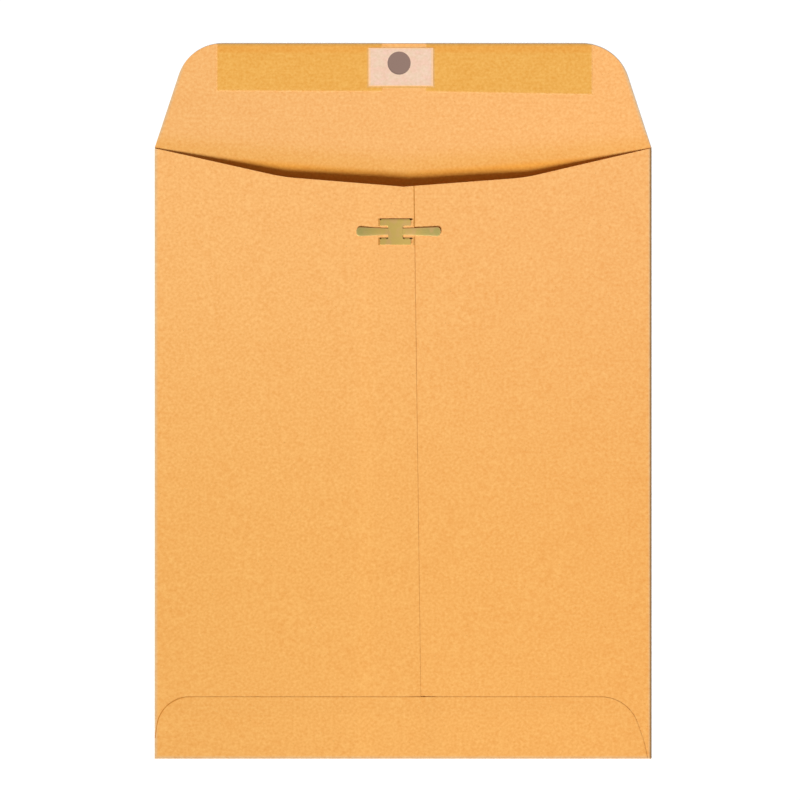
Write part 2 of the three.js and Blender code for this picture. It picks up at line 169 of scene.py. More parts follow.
class Finish:
    """A material with a surface shader, and short ways to add the nodes that this object needs."""

    def __init__(self, name, roughness, metallic=0.0, specular=0.5):
        self.material = bpy.data.materials.new(name)
        self.material.use_nodes = True
        self.nodes = self.material.node_tree.nodes
        self.links = self.material.node_tree.links
        self.shader = self.nodes["Principled BSDF"]
        self.shader.inputs["Roughness"].default_value = roughness
        self.shader.inputs["Metallic"].default_value = metallic
        self.shader.inputs["Specular IOR Level"].default_value = specular
        self.place = self.nodes.new("ShaderNodeTexCoord").outputs["Object"]

    def math(self, operation, *values, clamp=False):
        node = self.nodes.new("ShaderNodeMath")
        node.operation = operation
        node.use_clamp = clamp
        for socket, value in zip(node.inputs, values):
            self.put(value, socket)
        return node.outputs[0]

    def put(self, value, socket):
        if isinstance(value, bpy.types.NodeSocket):
            self.links.new(value, socket)
        elif socket.type == "VECTOR":
            socket.default_value = value[:3]
        else:
            socket.default_value = value

    def axis(self, name):
        split = self.nodes.new("ShaderNodeSeparateXYZ")
        self.links.new(self.place, split.inputs[0])
        return split.outputs[name]

    def attribute(self, name):
        """A number that is kept at each point of the piece, or 0 where the piece has none."""
        node = self.nodes.new("ShaderNodeAttribute")
        node.attribute_name = name
        return node.outputs["Fac"]

    def noise(self, across, along, turn=0.0, detail=2.0, seed=0.0):
        """A noise from 0 to 1 whose spots measure across by along, in millimetres, turned by an angle."""
        turned = self.nodes.new("ShaderNodeMapping")
        turned.inputs["Rotation"].default_value = (0, 0, math.radians(turn))
        self.links.new(self.place, turned.inputs["Vector"])
        scaled = self.nodes.new("ShaderNodeMapping")
        scaled.inputs["Location"].default_value = (seed, seed, seed)
        scaled.inputs["Scale"].default_value = (1 / (across * MM), 1 / (along * MM), 1 / (across * MM))
        self.links.new(turned.outputs["Vector"], scaled.inputs["Vector"])
        noise = self.nodes.new("ShaderNodeTexNoise")
        noise.inputs["Scale"].default_value = 1.0
        noise.inputs["Detail"].default_value = detail
        self.links.new(scaled.outputs["Vector"], noise.inputs["Vector"])
        return noise.outputs["Fac"]

    def between(self, value, zero_at, one_at):
        """A smooth change from 0 where the value is zero_at to 1 where it is one_at, whichever is larger."""
        node = self.nodes.new("ShaderNodeMapRange")
        node.interpolation_type = "SMOOTHSTEP"
        self.put(value, node.inputs["Value"])
        node.inputs["From Min"].default_value = zero_at
        node.inputs["From Max"].default_value = one_at
        return node.outputs["Result"]

    def mix(self, share, first, second, blend="MIX"):
        node = self.nodes.new("ShaderNodeMix")
        node.data_type = "RGBA"
        node.blend_type = blend
        self.put(share, node.inputs[0])
        self.put(first, node.inputs[MIX_FIRST])
        self.put(second, node.inputs[MIX_SECOND])
        return node.outputs[MIX_RESULT]

    def vector_math(self, operation, *values):
        node = self.nodes.new("ShaderNodeVectorMath")
        node.operation = operation
        for socket, value in zip(node.inputs, values):
            self.put(value, socket)
        return node.outputs["Vector"]

    def mottle(self, base, amounts, spread=(1, 1, 1)):
        """A colour made lighter and darker by noises, each centred and scaled by its own amount. The spread
        says how strongly red, green and blue follow."""
        swing = 0.0
        for noise, amount in amounts:
            swing = self.math("MULTIPLY_ADD", noise, 2 * amount, self.math("SUBTRACT", swing, amount))
        factor = self.vector_math("MULTIPLY_ADD", swing, spread, (1, 1, 1))
        return self.vector_math("MULTIPLY", base, factor)

    def relief(self, height, depth):
        """Small bumps on the surface, from a height between 0 and 1 and their real depth in metres."""
        bump = self.nodes.new("ShaderNodeBump")
        bump.inputs["Strength"].default_value = 1.0
        bump.inputs["Distance"].default_value = depth
        self.links.new(height, bump.inputs["Height"])
        self.links.new(bump.outputs["Normal"], self.shader.inputs["Normal"])

    def finish_colour(self, result):
        self.links.new(result, self.shader.inputs["Base Color"])
        return self.material


print("a middle grey of 128 reflects", round(colour(128, 128, 128)[0], 3), "of the light")

# %% [markdown]
# ## Kraft paper
# Golden kraft is uncoated and matt. Its finish is laid on in layers: the tone of the sheet, the wear and
# painted shade along the outline, the painted shade inside the mouth, the painted shade along a cut edge, the
# line round the patch, the painted shade of the lap's edge and of the punch's dents, and the fibres, with a
# painted shade from side to side, over all. Each layer is a short function with its own values. Most layers
# belong to a place on the envelope, so those places are read from the imported model first.

# %% Tones of the paper and places on it
KRAFT_PALE = colour(250, 184.5, 112)
KRAFT_DEEP = colour(244, 176, 94)
joints = {joint["name"]: joint for joint in frame["joints"]}
crease_y = joints["flap_crease"]["pos_m"][1]
envelope_low, envelope_high = (np.array(corner) for corner in cad_box)
half_width = envelope_high[0]
bottom_y = envelope_low[1]
flap_top_y = envelope_high[1]
clasp_low, clasp_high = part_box("clasp_base")
patch_low, patch_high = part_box("hole_patch")
print(f"crease {crease_y / MM:.2f} mm above the middle, sides {half_width / MM:.2f} mm from it")

# %% [markdown]
# ### Wear and painted shade along the outline
# Handling has greyed the last two millimetres along the sides and the bottom. The rim follows the slanted sides
# of the flap, so on the flap a point counts as further out the higher it lies. The crease on the right turns
# away from the lamp and is darkened by a line of painted shade, and the crease at the bottom gets a faint
# darker line.

# %% Greyed rim, painted shade on the right crease and a darker bottom line
FLAP_LEAN = 0.33  # how far the sides of the flap lean in for each metre of its height
RIM_TONE = colour(228, 188, 140)
RIM_WIDTH = 2.0 * MM
# painted shade: the dark line on the right crease, and the faint darker line along the bottom
DARK_CREASE_TONE = colour(158, 116, 66)
PAINTED_SHADE_RIGHT = (1.0 * MM, 0.45 * MM)  # from the right edge: where the line begins, where it is full
DARK_LINE_BOTTOM = (1.1 * MM, 0.3 * MM)  # the same from the bottom edge
DARK_LINE_BOTTOM_SHARE = 0.3
PAINTED_SHADE_END = 0.3 * MM  # over which the line on the right dies out below the crease of the flap


def greyed_and_shaded_outline(paper, base, x, y):
    beyond_crease = paper.math("MAXIMUM", paper.math("SUBTRACT", y, crease_y), 0.0)
    reach = paper.math("MULTIPLY_ADD", beyond_crease, FLAP_LEAN, paper.math("ABSOLUTE", x))
    rim_sides = paper.between(reach, half_width - RIM_WIDTH, half_width)
    rim_bottom = paper.between(y, bottom_y + RIM_WIDTH, bottom_y)
    greyed = paper.mix(paper.math("MAXIMUM", rim_sides, rim_bottom), base, RIM_TONE)
    # painted shade along the right crease, then the darker line along the bottom
    on_body = paper.between(y, crease_y, crease_y - PAINTED_SHADE_END)
    right = paper.between(x, half_width - PAINTED_SHADE_RIGHT[0], half_width - PAINTED_SHADE_RIGHT[1])
    shaded_right = paper.mix(paper.math("MULTIPLY", right, on_body), greyed, DARK_CREASE_TONE)
    bottom = paper.between(y, bottom_y + DARK_LINE_BOTTOM[0], bottom_y + DARK_LINE_BOTTOM[1])
    return paper.mix(paper.math("MULTIPLY", bottom, DARK_LINE_BOTTOM_SHARE), shaded_right, DARK_CREASE_TONE)


print("greyed rim", RIM_WIDTH / MM, "mm wide")

# %% [markdown]
# ### Painted shade inside the mouth
# The inner face of the front panel shows between the crease and the cut edge of the back panels. Painted shade
# deepens its tone towards that edge, and in the mouth itself a painted tint turns the shadow orange, as light
# that has bounced off kraft would. Both bands follow the middle part of the cut edge, which rises to both sides
# from its lowest point. They lie on the upper face of the sheet alone, so they are limited by height too.

# %% Painted shade and painted bounce light on the inner face
MOUTH_DEPTH = 19.55 * MM  # from the crease to the lowest point of the mouth's edge
MOUTH_LEAN = 0.081  # how far the middle part of that edge rises for each metre to the side
# painted shade: the band that deepens the inner face, and the orange tint painted into the mouth's shadow
PAINTED_SHADE_BAND = (20.0 * MM, 8.0 * MM)  # above the mouth's edge: where it begins, where it is full
THROAT_SHADE_BAND = (8.7 * MM, 5.2 * MM)  # the same for the tint in the mouth itself
PAINTED_BOUNCE_TINT = (1.0, 0.86, 0.5, 1.0)
FACE_LOW = (0.05 * MM, 0.15 * MM)  # heights over which the upper face begins to count
FACE_HIGH = (0.28 * MM, 0.22 * MM)  # and over which it ceases to


def painted_mouth_shade(paper, base, x, y, z):
    mouth_y = paper.math("MULTIPLY_ADD", paper.math("ABSOLUTE", x), MOUTH_LEAN, crease_y - MOUTH_DEPTH)
    above_mouth = paper.math("SUBTRACT", y, mouth_y)
    inner_face = paper.math("MULTIPLY", paper.between(z, *FACE_LOW), paper.between(z, *FACE_HIGH))
    # painted shade above the mouth's edge, and painted bounce light in its shadow
    warm = paper.math("MULTIPLY", paper.between(above_mouth, *PAINTED_SHADE_BAND), inner_face)
    throat = paper.math("MULTIPLY", paper.between(above_mouth, *THROAT_SHADE_BAND), inner_face)
    return paper.mix(throat, paper.mix(warm, base, KRAFT_DEEP), PAINTED_BOUNCE_TINT, blend="MULTIPLY")


print("inner face deepens from", PAINTED_SHADE_BAND[0] / MM, "mm above the mouth's edge")

# %% [markdown]
# ### Painted shade along a cut edge
# The cut edge of the bottom flap gets a fine line of painted shade, deepest at the left, where the lamp casts
# little shadow along it. The mesh of that flap keeps the distance of each point from its edge, as an attribute
# named inset. A piece without the attribute reads as 0, and gets no line.

# %% Painted shade along a cut edge
LEAST_INSET = 0.01 * MM  # up to this, a point counts as one without an inset
# painted shade: a fine line along the cut edge of the bottom flap
CUT_EDGE_SHADE_TONE = colour(206, 132, 50)
CUT_EDGE_SHADE_SHARE = 0.1  # of that tone away from the left side
CUT_EDGE_SHADE_FADE = (0.65 * MM, 0.2 * MM)  # from the edge: where the line ends, where it is full
CUT_EDGE_SHADE_LEFT = (20 * MM, 7 * MM)  # from the left side: where the line begins to deepen, where it is full


def near_edge(finish, fade_from, fade_to):
    """1 beside the edge of a piece that keeps its insets, and 0 further in or where it keeps none."""
    inset = finish.attribute("inset")
    has_inset = finish.between(inset, 0, LEAST_INSET)
    return finish.math("MULTIPLY", finish.between(inset, fade_from, fade_to), has_inset)


def painted_cut_edge_shade(paper, base, x):
    fuller_at_left = paper.between(x, CUT_EDGE_SHADE_LEFT[0] - half_width, CUT_EDGE_SHADE_LEFT[1] - half_width)
    strength = paper.math("MULTIPLY_ADD", fuller_at_left, 1 - CUT_EDGE_SHADE_SHARE, CUT_EDGE_SHADE_SHARE)
    line = near_edge(paper, *CUT_EDGE_SHADE_FADE)
    return paper.mix(paper.math("MULTIPLY", line, strength), base, CUT_EDGE_SHADE_TONE)


print("cut edge shows over", CUT_EDGE_SHADE_FADE[0] / MM, "mm")

# %% [markdown]
# ### Line round the patch
# A fine darker line runs round the sides and the lower end of the patch. The line is found by how far a point
# lies past the sides and the ends of the patch, which the finish of the patch will use again for its rim.

# %% Line round the patch
PATCH_LINE_TONE = colour(227, 171, 96)
PATCH_LINE_FROM = 0.5 * MM  # from the patch's edge
PATCH_LINE_TO = 1.1 * MM
PATCH_LINE_TOP = MM  # over which the line dies out below the patch's upper edge


def past_patch(finish, x, y):
    """How far a point lies past the sides and past the ends of the patch, below 0 where it lies on it."""
    middle, reach = (patch_low + patch_high) / 2, (patch_high - patch_low) / 2
    off_x = finish.math("ABSOLUTE", finish.math("SUBTRACT", x, middle.x))
    off_y = finish.math("ABSOLUTE", finish.math("SUBTRACT", y, middle.y))
    return finish.math("SUBTRACT", off_x, reach.x), finish.math("SUBTRACT", off_y, reach.y)


def patch_border(finish, x, y):
    """How strongly the darker line round the patch shows."""
    line = finish.between(finish.math("MAXIMUM", *past_patch(finish, x, y)), PATCH_LINE_TO, PATCH_LINE_FROM)
    return finish.math("MULTIPLY", line, finish.between(y, patch_high.y, patch_high.y - PATCH_LINE_TOP))


print("line of paste up to", PATCH_LINE_TO / MM, "mm from the patch")

# %% [markdown]
# ### Painted shade on the back
# The edge of the lap gets a darker line of painted shadow, most of all above the clasp, and the small dents
# that the punch has pressed beside the ends of the clasp's bars get lines of painted shade. These marks have a
# finish of their own, which only the back panels wear.

# %% Painted shade on the back
BAR_HEIGHT = 3.55 * MM  # of each of the clasp's two bars
# painted shade: where the punch has pressed the paper down beside the bars
PUNCH_SHADE_TONE = colour(184, 124, 46)
PUNCH_LINES = ((clasp_low.x - 0.4 * MM, 0.75), (clasp_high.x + 1.45 * MM, 0.5))  # place and strength
PUNCH_FADE = (0.8 * MM, 0.2 * MM)  # from the middle of a line: where it ends, where it is full
PUNCH_OVERRUN = 0.3 * MM  # of a line past both edges of the bar beside it
# painted shadow: a darker line along the lap's edge
SEAM_SHADOW_TONE = colour(222, 152, 70)
SEAM_SHADOW_SHARE = {"top": 0.85, "below": 0.2}  # strength above the clasp and below it
SEAM_SHADOW_FADE = (0.5 * MM, 0.1 * MM)  # from the lap's edge: where the trace ends, where it is full
SEAM_RUN = 5 * MM  # below the clasp, where the trace begins to grow
SEAM_TOP = (5.5 * MM, crease_y - 19.2 * MM)  # the lap's edge at the mouth, and at the bottom
SEAM_BOTTOM = (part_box("left_back_panel")[1].x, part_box("front_panel")[0].y)


def painted_punch_shade(paper, x, y):
    """How strongly the painted shade of the punch's dents shows, beside the ends of the clasp's bars."""
    off_y = paper.math("ABSOLUTE", paper.math("SUBTRACT", y, (clasp_low.y + clasp_high.y) / 2))
    outer = (clasp_high.y - clasp_low.y) / 2
    inner = outer - BAR_HEIGHT
    above_inner = paper.between(off_y, inner - PUNCH_OVERRUN, inner)
    below_outer = paper.between(off_y, outer + PUNCH_OVERRUN, outer)
    marks = 0.0
    for mark_x, strength in PUNCH_LINES:
        off_x = paper.math("ABSOLUTE", paper.math("SUBTRACT", x, mark_x))
        mark = paper.math("MULTIPLY", paper.between(off_x, *PUNCH_FADE), strength)
        marks = paper.math("MAXIMUM", marks, mark)
    return paper.math("MULTIPLY", marks, paper.math("MULTIPLY", above_inner, below_outer))


def painted_seam_shadow(paper, x, y):
    """How strongly the painted shadow along the lap's edge shows, most of all above the clasp."""
    lean = (SEAM_TOP[0] - SEAM_BOTTOM[0]) / (SEAM_TOP[1] - SEAM_BOTTOM[1])
    seam_x = paper.math("MULTIPLY_ADD", y, lean, SEAM_TOP[0] - lean * SEAM_TOP[1])
    off_x = paper.math("ABSOLUTE", paper.math("SUBTRACT", x, seam_x))
    above = paper.between(y, clasp_low.y - SEAM_RUN, clasp_high.y)
    growth = SEAM_SHADOW_SHARE["top"] - SEAM_SHADOW_SHARE["below"]
    strength = paper.math("MULTIPLY_ADD", above, growth, SEAM_SHADOW_SHARE["below"])
    return paper.math("MULTIPLY", paper.between(off_x, *SEAM_SHADOW_FADE), strength)


print("marks of the punch at", [round(mark_x / MM, 2) for mark_x, strength in PUNCH_LINES], "mm")

# %% [markdown]
# ### Fibres, and the whole finish
# Seen close, kraft is a felt of long fibres, with cloudy patches where the pulp lay thicker and a few dark
# specks of bark. From a step away only a fine mottle is left. Two noises stretched in different directions make
# the fibres, rounder ones the flecks and clouds, and the highest peaks of another one the specks. The sheet
# also deepens a little from the flap to the bottom, and it is painted a little lighter towards the right and
# darker towards the left, as painted light and shade against the lamp's stronger light on the left half of the
# crowned panels.

# %% Kraft paper finish
TONE_FROM = crease_y + 44 * MM  # where the sheet is palest
TONE_TO = crease_y - 236 * MM  # where it is deepest
SPECK_TONE = colour(150, 96, 42)
SPECK_PEAKS = (0.74, 0.8)  # of a noise from 0 to 1
SPECK_SHARE = 0.35
FIBRE_RELIEF = 0.006 * MM


def fibres_over(paper, base, x):
    fibres_up = paper.noise(across=0.22, along=1.6, turn=24, seed=3.0)
    fibres_across = paper.noise(across=1.9, along=0.25, turn=17, seed=11.0)
    flecks = paper.noise(across=1.4, along=1.3, detail=1.0, seed=5.0)
    clouds = paper.noise(across=3.4, along=2.8, detail=2.0, seed=33.0)
    blotches = paper.noise(across=14.0, along=11.0, detail=1.0, seed=8.0)
    grain = [(fibres_up, 0.04), (fibres_across, 0.04), (flecks, 0.115), (clouds, 0.02), (blotches, 0.015)]
    mottled = paper.mottle(base, grain, spread=(0.8, 2.0, 3.5))
    # painted light and shade: lighter to the right, darker to the left, against the lamp's stronger light on
    # the left
    to_right = paper.between(x, -half_width, half_width)
    mottled = paper.mottle(mottled, [(to_right, 0.02)], spread=(1.3, 0.8, 1.0))
    peaks = paper.noise(across=0.9, along=0.6, turn=40, detail=1.0, seed=21.0)
    specks = paper.math("MULTIPLY", paper.between(peaks, *SPECK_PEAKS), SPECK_SHARE)
    paper.relief(paper.math("ADD", fibres_up, fibres_across), FIBRE_RELIEF)
    return paper.mix(specks, mottled, SPECK_TONE)


def kraft_paper(name, is_back=False):
    paper = Finish(name, roughness=0.8, specular=0.15)
    x, y, z = paper.axis("X"), paper.axis("Y"), paper.axis("Z")
    base = paper.mix(paper.between(y, TONE_TO, TONE_FROM), KRAFT_DEEP, KRAFT_PALE)
    base = greyed_and_shaded_outline(paper, base, x, y)
    base = painted_mouth_shade(paper, base, x, y, z)
    base = painted_cut_edge_shade(paper, base, x)
    base = paper.mix(patch_border(paper, x, y), base, PATCH_LINE_TONE)
    if is_back:
        base = paper.mix(painted_punch_shade(paper, x, y), base, PUNCH_SHADE_TONE)
        base = paper.mix(painted_seam_shadow(paper, x, y), base, SEAM_SHADOW_TONE)
    return paper.finish_colour(fibres_over(paper, base, x))


kraft = kraft_paper("kraft_paper")
back_kraft = kraft_paper("kraft_paper_of_the_back", is_back=True)
print("kraft paper from", KRAFT_PALE[:3], "to", KRAFT_DEEP[:3])

# %% [markdown]
# ## Measures
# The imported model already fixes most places: the boxes of its nodes give the edges of the panels, the
# thickness of the paper and the levels of the layers, and its joints give the crease and the bends of the
# clasp. The few sizes that no box shows are written here in millimetres.

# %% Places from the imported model
front_low, front_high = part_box("front_panel")
paper_thickness = front_high.z
panel_half_width = front_high.x
panel_bottom_y = front_low.y
side_fold_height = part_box("left_side_fold")[1].z
shoulder_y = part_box("left_side_fold")[1].y
fold_gap = side_fold_height - 2 * paper_thickness  # hollow inside a rolled crease
hidden_edge_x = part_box("right_back_panel")[0].x
seam_bottom_x = SEAM_BOTTOM[0]

MOUTH_RISE = 5.0 * MM
LAYER_GAP = 0.08 * MM  # a layer of glue and its clearance between two sheets
LAP_RUN = 10.0 * MM  # width over which a sheet climbs onto the lap
EDGE_RUN = 10.0 * MM  # width over which a sheet is pressed thinner towards its edge
lap_lift = paper_thickness + LAYER_GAP
print(f"paper {paper_thickness / MM:.2f} mm thick, envelope {2 * half_width / MM:.2f} mm wide")

# %% [markdown]
# ## The shape of the pocket
# The back panels don't lie flat. They rise from the creases at both sides and at the bottom to five
# millimetres at the middle of the mouth, as on an envelope that has been opened once. One formula gives the
# height of their underside, a quarter wave from side to side and a parabola from the bottom up. The left
# panel also climbs onto the edge of the right one in the centre seam, and comes to lie two layers up.


# %% Heights of the layers
def smooth_rise(value, start, end):
    share = np.clip((value - start) / (end - start), 0, 1)
    return share * share * (3 - 2 * share)


def pocket_ceiling(x, y):
    across = np.cos(np.pi / 2 * np.minimum(np.abs(x) / panel_half_width, 1))
    along = 1 - np.clip((y - crease_y) / (panel_bottom_y - crease_y), 0, 1) ** 2
    return paper_thickness + fold_gap + MOUTH_RISE * across * along


def lap_from_left(x):
    return lap_lift * smooth_rise(x, hidden_edge_x - LAP_RUN, hidden_edge_x - LAYER_GAP)


def lap_from_both_sides(x):
    from_right = lap_lift * smooth_rise(-x, -seam_bottom_x - LAP_RUN, -seam_bottom_x - LAYER_GAP)
    return np.minimum(lap_from_left(x), from_right)


def left_panel_level(x, y):
    return pocket_ceiling(x, y) + lap_from_left(x)


def bottom_flap_level(x, y):
    return pocket_ceiling(x, y) + paper_thickness + LAYER_GAP + lap_from_both_sides(x)


print(f"mouth stands {pocket_ceiling(0, crease_y) / MM:.2f} mm above the table at its middle")

# %% [markdown]
# ## Making a sheet
# A sheet of paper is a grid of points that is laid out to fit its outline, copied once at its thickness
# above, and closed along the rim. Laying the grid out to fit keeps its faces square and its edges clean,
# which cutting a plain grid with a knife would not. The edges are kept sharp and the rest is smooth. Sheets
# that lie on others can be pressed thinner towards their edge. A roll, a leg or a prong is a loft through
# rings of points instead, and what only a finish needs to know is kept as a number at each point.


# %% Sheets and lofts
SHARP_ANGLE = math.radians(40)


def make_object(name, points, faces, finish, body=None):
    mesh = bpy.data.meshes.new(name)
    mesh.from_pydata([tuple(point) for point in points], [], faces)
    mesh.validate()
    mesh.shade_smooth()
    mesh.set_sharp_from_angle(angle=SHARP_ANGLE)
    mesh.materials.append(finish)
    piece = bpy.data.objects.new(name, mesh)
    bpy.context.scene.collection.objects.link(piece)
    if body:
        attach(piece, body)
    return piece


def sheet(name, x, y, level, thickness, finish, body=None):
    """A closed sheet over a grid of places, with rows along the envelope and columns across it."""
    rows, columns = x.shape
    low = np.stack([x, y, level], axis=-1).reshape(-1, 3)
    points = np.concatenate([low, low + np.array([0, 0, 1]) * np.reshape(thickness, (-1, 1))])
    index = np.arange(rows * columns).reshape(rows, columns)
    corners = [index[:-1, :-1], index[:-1, 1:], index[1:, 1:], index[1:, :-1]]
    quads = np.stack([corner.ravel() for corner in corners], axis=1)
    rim = np.concatenate([index[0, :-1], index[:-1, -1], index[-1, :0:-1], index[:0:-1, 0]])
    after = np.roll(rim, -1)
    layer = rows * columns
    sides = np.stack([rim, after, after + layer, rim + layer], axis=1)
    faces = np.concatenate([quads[:, ::-1], quads + layer, sides])
    return make_object(name, points, faces.tolist(), finish, body)


def thinned(to_edge, thinning):
    """Thickness of a sheet that is pressed thinner towards its edge, by a share of its thickness."""
    return paper_thickness * (1 - thinning * (1 - smooth_rise(to_edge, 0, EDGE_RUN)))


def loft(name, rings, finish, body=None):
    """A closed solid through rings that hold the same number of points, from one end to the other."""
    rings = np.asarray(rings, dtype=float)
    count, around = rings.shape[:2]
    index = np.arange(count * around).reshape(count, around)
    turned = np.roll(index, -1, axis=1)
    walls = np.stack([index[:-1], turned[:-1], turned[1:], index[1:]], axis=-1).reshape(-1, 4)
    faces = walls.tolist() + [index[0, ::-1].tolist(), index[-1].tolist()]
    return make_object(name, rings.reshape(-1, 3), faces, finish, body)


def cut_out(piece, cutter):
    """Takes the shape of the cutter out of the piece, and throws the cutter away."""
    knife = piece.modifiers.new("cut", "BOOLEAN")
    knife.operation = "DIFFERENCE"
    knife.solver = "EXACT"
    knife.object = cutter
    cut = piece.evaluated_get(bpy.context.evaluated_depsgraph_get())
    mesh = bpy.data.meshes.new_from_object(cut)
    piece.modifiers.clear()
    piece.data = mesh
    mesh.set_sharp_from_angle(angle=SHARP_ANGLE)
    bpy.data.objects.remove(cutter)


def prism(outline, low, high):
    """A straight solid over an outline, to cut with."""
    rings = [[(x, y, level) for x, y in outline] for level in (low, high)]
    return loft("cutter", rings, kraft)


def even_steps(start, end, spacing):
    return np.linspace(start, end, max(2, 1 + math.ceil(abs(end - start) / spacing)))


def arc(middle_x, middle_y, reach_x, reach_y, turns):
    """Points on an arc round a middle. A reach below 0 mirrors the arc."""
    return [(middle_x + reach_x * math.cos(turn), middle_y + reach_y * math.sin(turn)) for turn in turns]


def keep_on_points(piece, name, values):
    """Keeps a number at each point of the piece, under a name that its finish reads."""
    kept = piece.data.attributes.new(name, "FLOAT", "POINT")
    kept.data.foreach_set("value", np.ravel(values))


print("10 mm in steps of up to 3 mm:", even_steps(0, 10, 3))

# %% [markdown]
# ## Front panel and seal flap
# The front panel and the seal flap are the same flat piece of paper. The flap has slanted sides and round
# corners. Both are made as one sheet. Rows of points lie close together at the crease and at the round corners.

# %% Front panel and seal flap as one sheet
FLAP_ROOT_INSET = {"left": 0.05 * MM, "right": 0.15 * MM}
FLAP_SLANT = {"left": 17.1 * MM, "right": 16.9 * MM}
FLAP_CORNER_RADIUS = {"left": 22.7 * MM, "right": 24.2 * MM}
CREASE_HALF_GAP = 0.15 * MM
CREASE_BEND = 1.2 * MM  # from the crease to where the bent sheet is flat again
GRID = 3.0 * MM
COLUMNS = 84
CREASE_ROWS = 33
CORNER_ROWS = 24
CORNER_START = 8  # degrees round the corner at which its first row lies


def flap_half_width(y, side):
    """Distance of the flap's edge from the middle line, with its slant and its round corner."""
    root = half_width - FLAP_ROOT_INSET[side]
    lean = FLAP_SLANT[side] / (flap_top_y - crease_y - CREASE_HALF_GAP)
    slope = math.atan(lean)
    radius = FLAP_CORNER_RADIUS[side]
    centre_y = flap_top_y - radius
    centre_x = root - lean * (centre_y - crease_y - CREASE_HALF_GAP) - radius / math.cos(slope)
    tangent_y = centre_y + radius * math.sin(slope)
    if y < tangent_y:
        return root - lean * max(y - crease_y - CREASE_HALF_GAP, 0)
    return centre_x + math.sqrt(max(radius ** 2 - (y - centre_y) ** 2, 0))


corner_height = max(FLAP_CORNER_RADIUS.values())
corner_angles = np.radians(np.linspace(CORNER_START, 90, CORNER_ROWS))
front_rows = np.concatenate([
    even_steps(panel_bottom_y, crease_y - 2 * CREASE_BEND, GRID)[:-1],
    np.linspace(crease_y - 2 * CREASE_BEND, crease_y + 2 * CREASE_BEND, CREASE_ROWS)[:-1],
    even_steps(crease_y + 2 * CREASE_BEND, flap_top_y - corner_height, GRID),
    flap_top_y - corner_height * (1 - np.sin(corner_angles)),
])


def front_half_width(y, side):
    return panel_half_width if y < crease_y else flap_half_width(y, side)


def from_side_to_side(left_edge, right_edge, rows, count):
    """Grid of places whose rows each run from the left edge to the right edge in even steps."""
    share = np.linspace(0, 1, count)
    x = left_edge[:, None] + (right_edge - left_edge)[:, None] * share
    return x, np.repeat(rows[:, None], count, axis=1)


front_left = np.array([-front_half_width(row, "left") for row in front_rows])
front_right = np.array([front_half_width(row, "right") for row in front_rows])
front_x, front_y = from_side_to_side(front_left, front_right, front_rows, COLUMNS + 1)
flat_level = np.zeros_like(front_x)
front_and_flap = sheet("front_and_flap_sheet", front_x, front_y, flat_level, paper_thickness, kraft)
print("front panel and flap", front_x.shape[0], "rows of", front_x.shape[1], "points")

# %% [markdown]
# ### Hole of the flap
# The prongs pass through a round hole in the flap. A flat prism with many sides is taken out of the finished
# sheet, which leaves a clean round edge without any change to the rows.

# %% Hole of the flap
HOLE_DIAMETER = 11.55 * MM
HOLE_FROM_FLAP_EDGE = 9.7 * MM
HOLE_FROM_PATCH_MIDDLE = -0.9 * MM
HOLE_STEPS = 96
hole_x = (patch_low.x + patch_high.x) / 2 + HOLE_FROM_PATCH_MIDDLE
hole_y = flap_top_y - HOLE_FROM_FLAP_EDGE


def hole_cutter():
    turns = np.linspace(0, 2 * np.pi, HOLE_STEPS, endpoint=False)
    return prism(arc(hole_x, hole_y, HOLE_DIAMETER / 2, HOLE_DIAMETER / 2, turns), -MM, MM)


cut_out(front_and_flap, hole_cutter())
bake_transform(front_and_flap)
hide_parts("front_panel", "seal_flap")
print("hole", HOLE_DIAMETER / MM, "mm wide, in a flap", round((flap_top_y - crease_y) / MM, 1), "mm deep")

# %% [markdown]
# ## Back panels
# The side parts of the blank fold over and meet in the centre seam, the left one on top. Their upper edges
# make the mouth of the pocket: from each shoulder the cut runs down to the lowest point near the middle in
# two straight lines with a gentle bend between them. Each panel is a sheet whose rows fan out from the
# straight bottom to that edge. The seam leans a little, so the columns of the left panel lean with it. Its
# edge in the seam is pressed thin at the bottom and hardly at all at the mouth.

# %% Mouth edge and the two back panels
MOUTH_LOW = (0.3 * MM, crease_y - MOUTH_DEPTH)
LEFT_KINK = (-59.85 * MM, crease_y - 14.64 * MM)
RIGHT_KINK = (60.85 * MM, crease_y - 14.98 * MM)
KINK_REACH = 6.2 * MM  # half the length of the bend between the two straight lines
SEAM_THINNING = {"top": 0.1, "bottom": 0.6}  # share of the paper that is pressed away at the lap's edge
PANEL_ROWS = 105
LEFT_COLUMNS = 64
RIGHT_GRID = 2.2 * MM


def mouth_edge(x, shoulder_x, kink):
    """Height on the picture of the cut edge, from a shoulder through its kink to the lowest point."""
    outer = (kink[1] - shoulder_y) / (kink[0] - shoulder_x)
    inner = (MOUTH_LOW[1] - kink[1]) / (MOUTH_LOW[0] - kink[0])
    left, right = (outer, inner) if shoulder_x < 0 else (inner, outer)
    off = x - kink[0]
    near = np.abs(off) < KINK_REACH
    bent = np.where(near, (off ** 2 + KINK_REACH ** 2) / (2 * KINK_REACH), np.abs(off))
    return kink[1] + (left + right) / 2 * off + (right - left) / 2 * bent


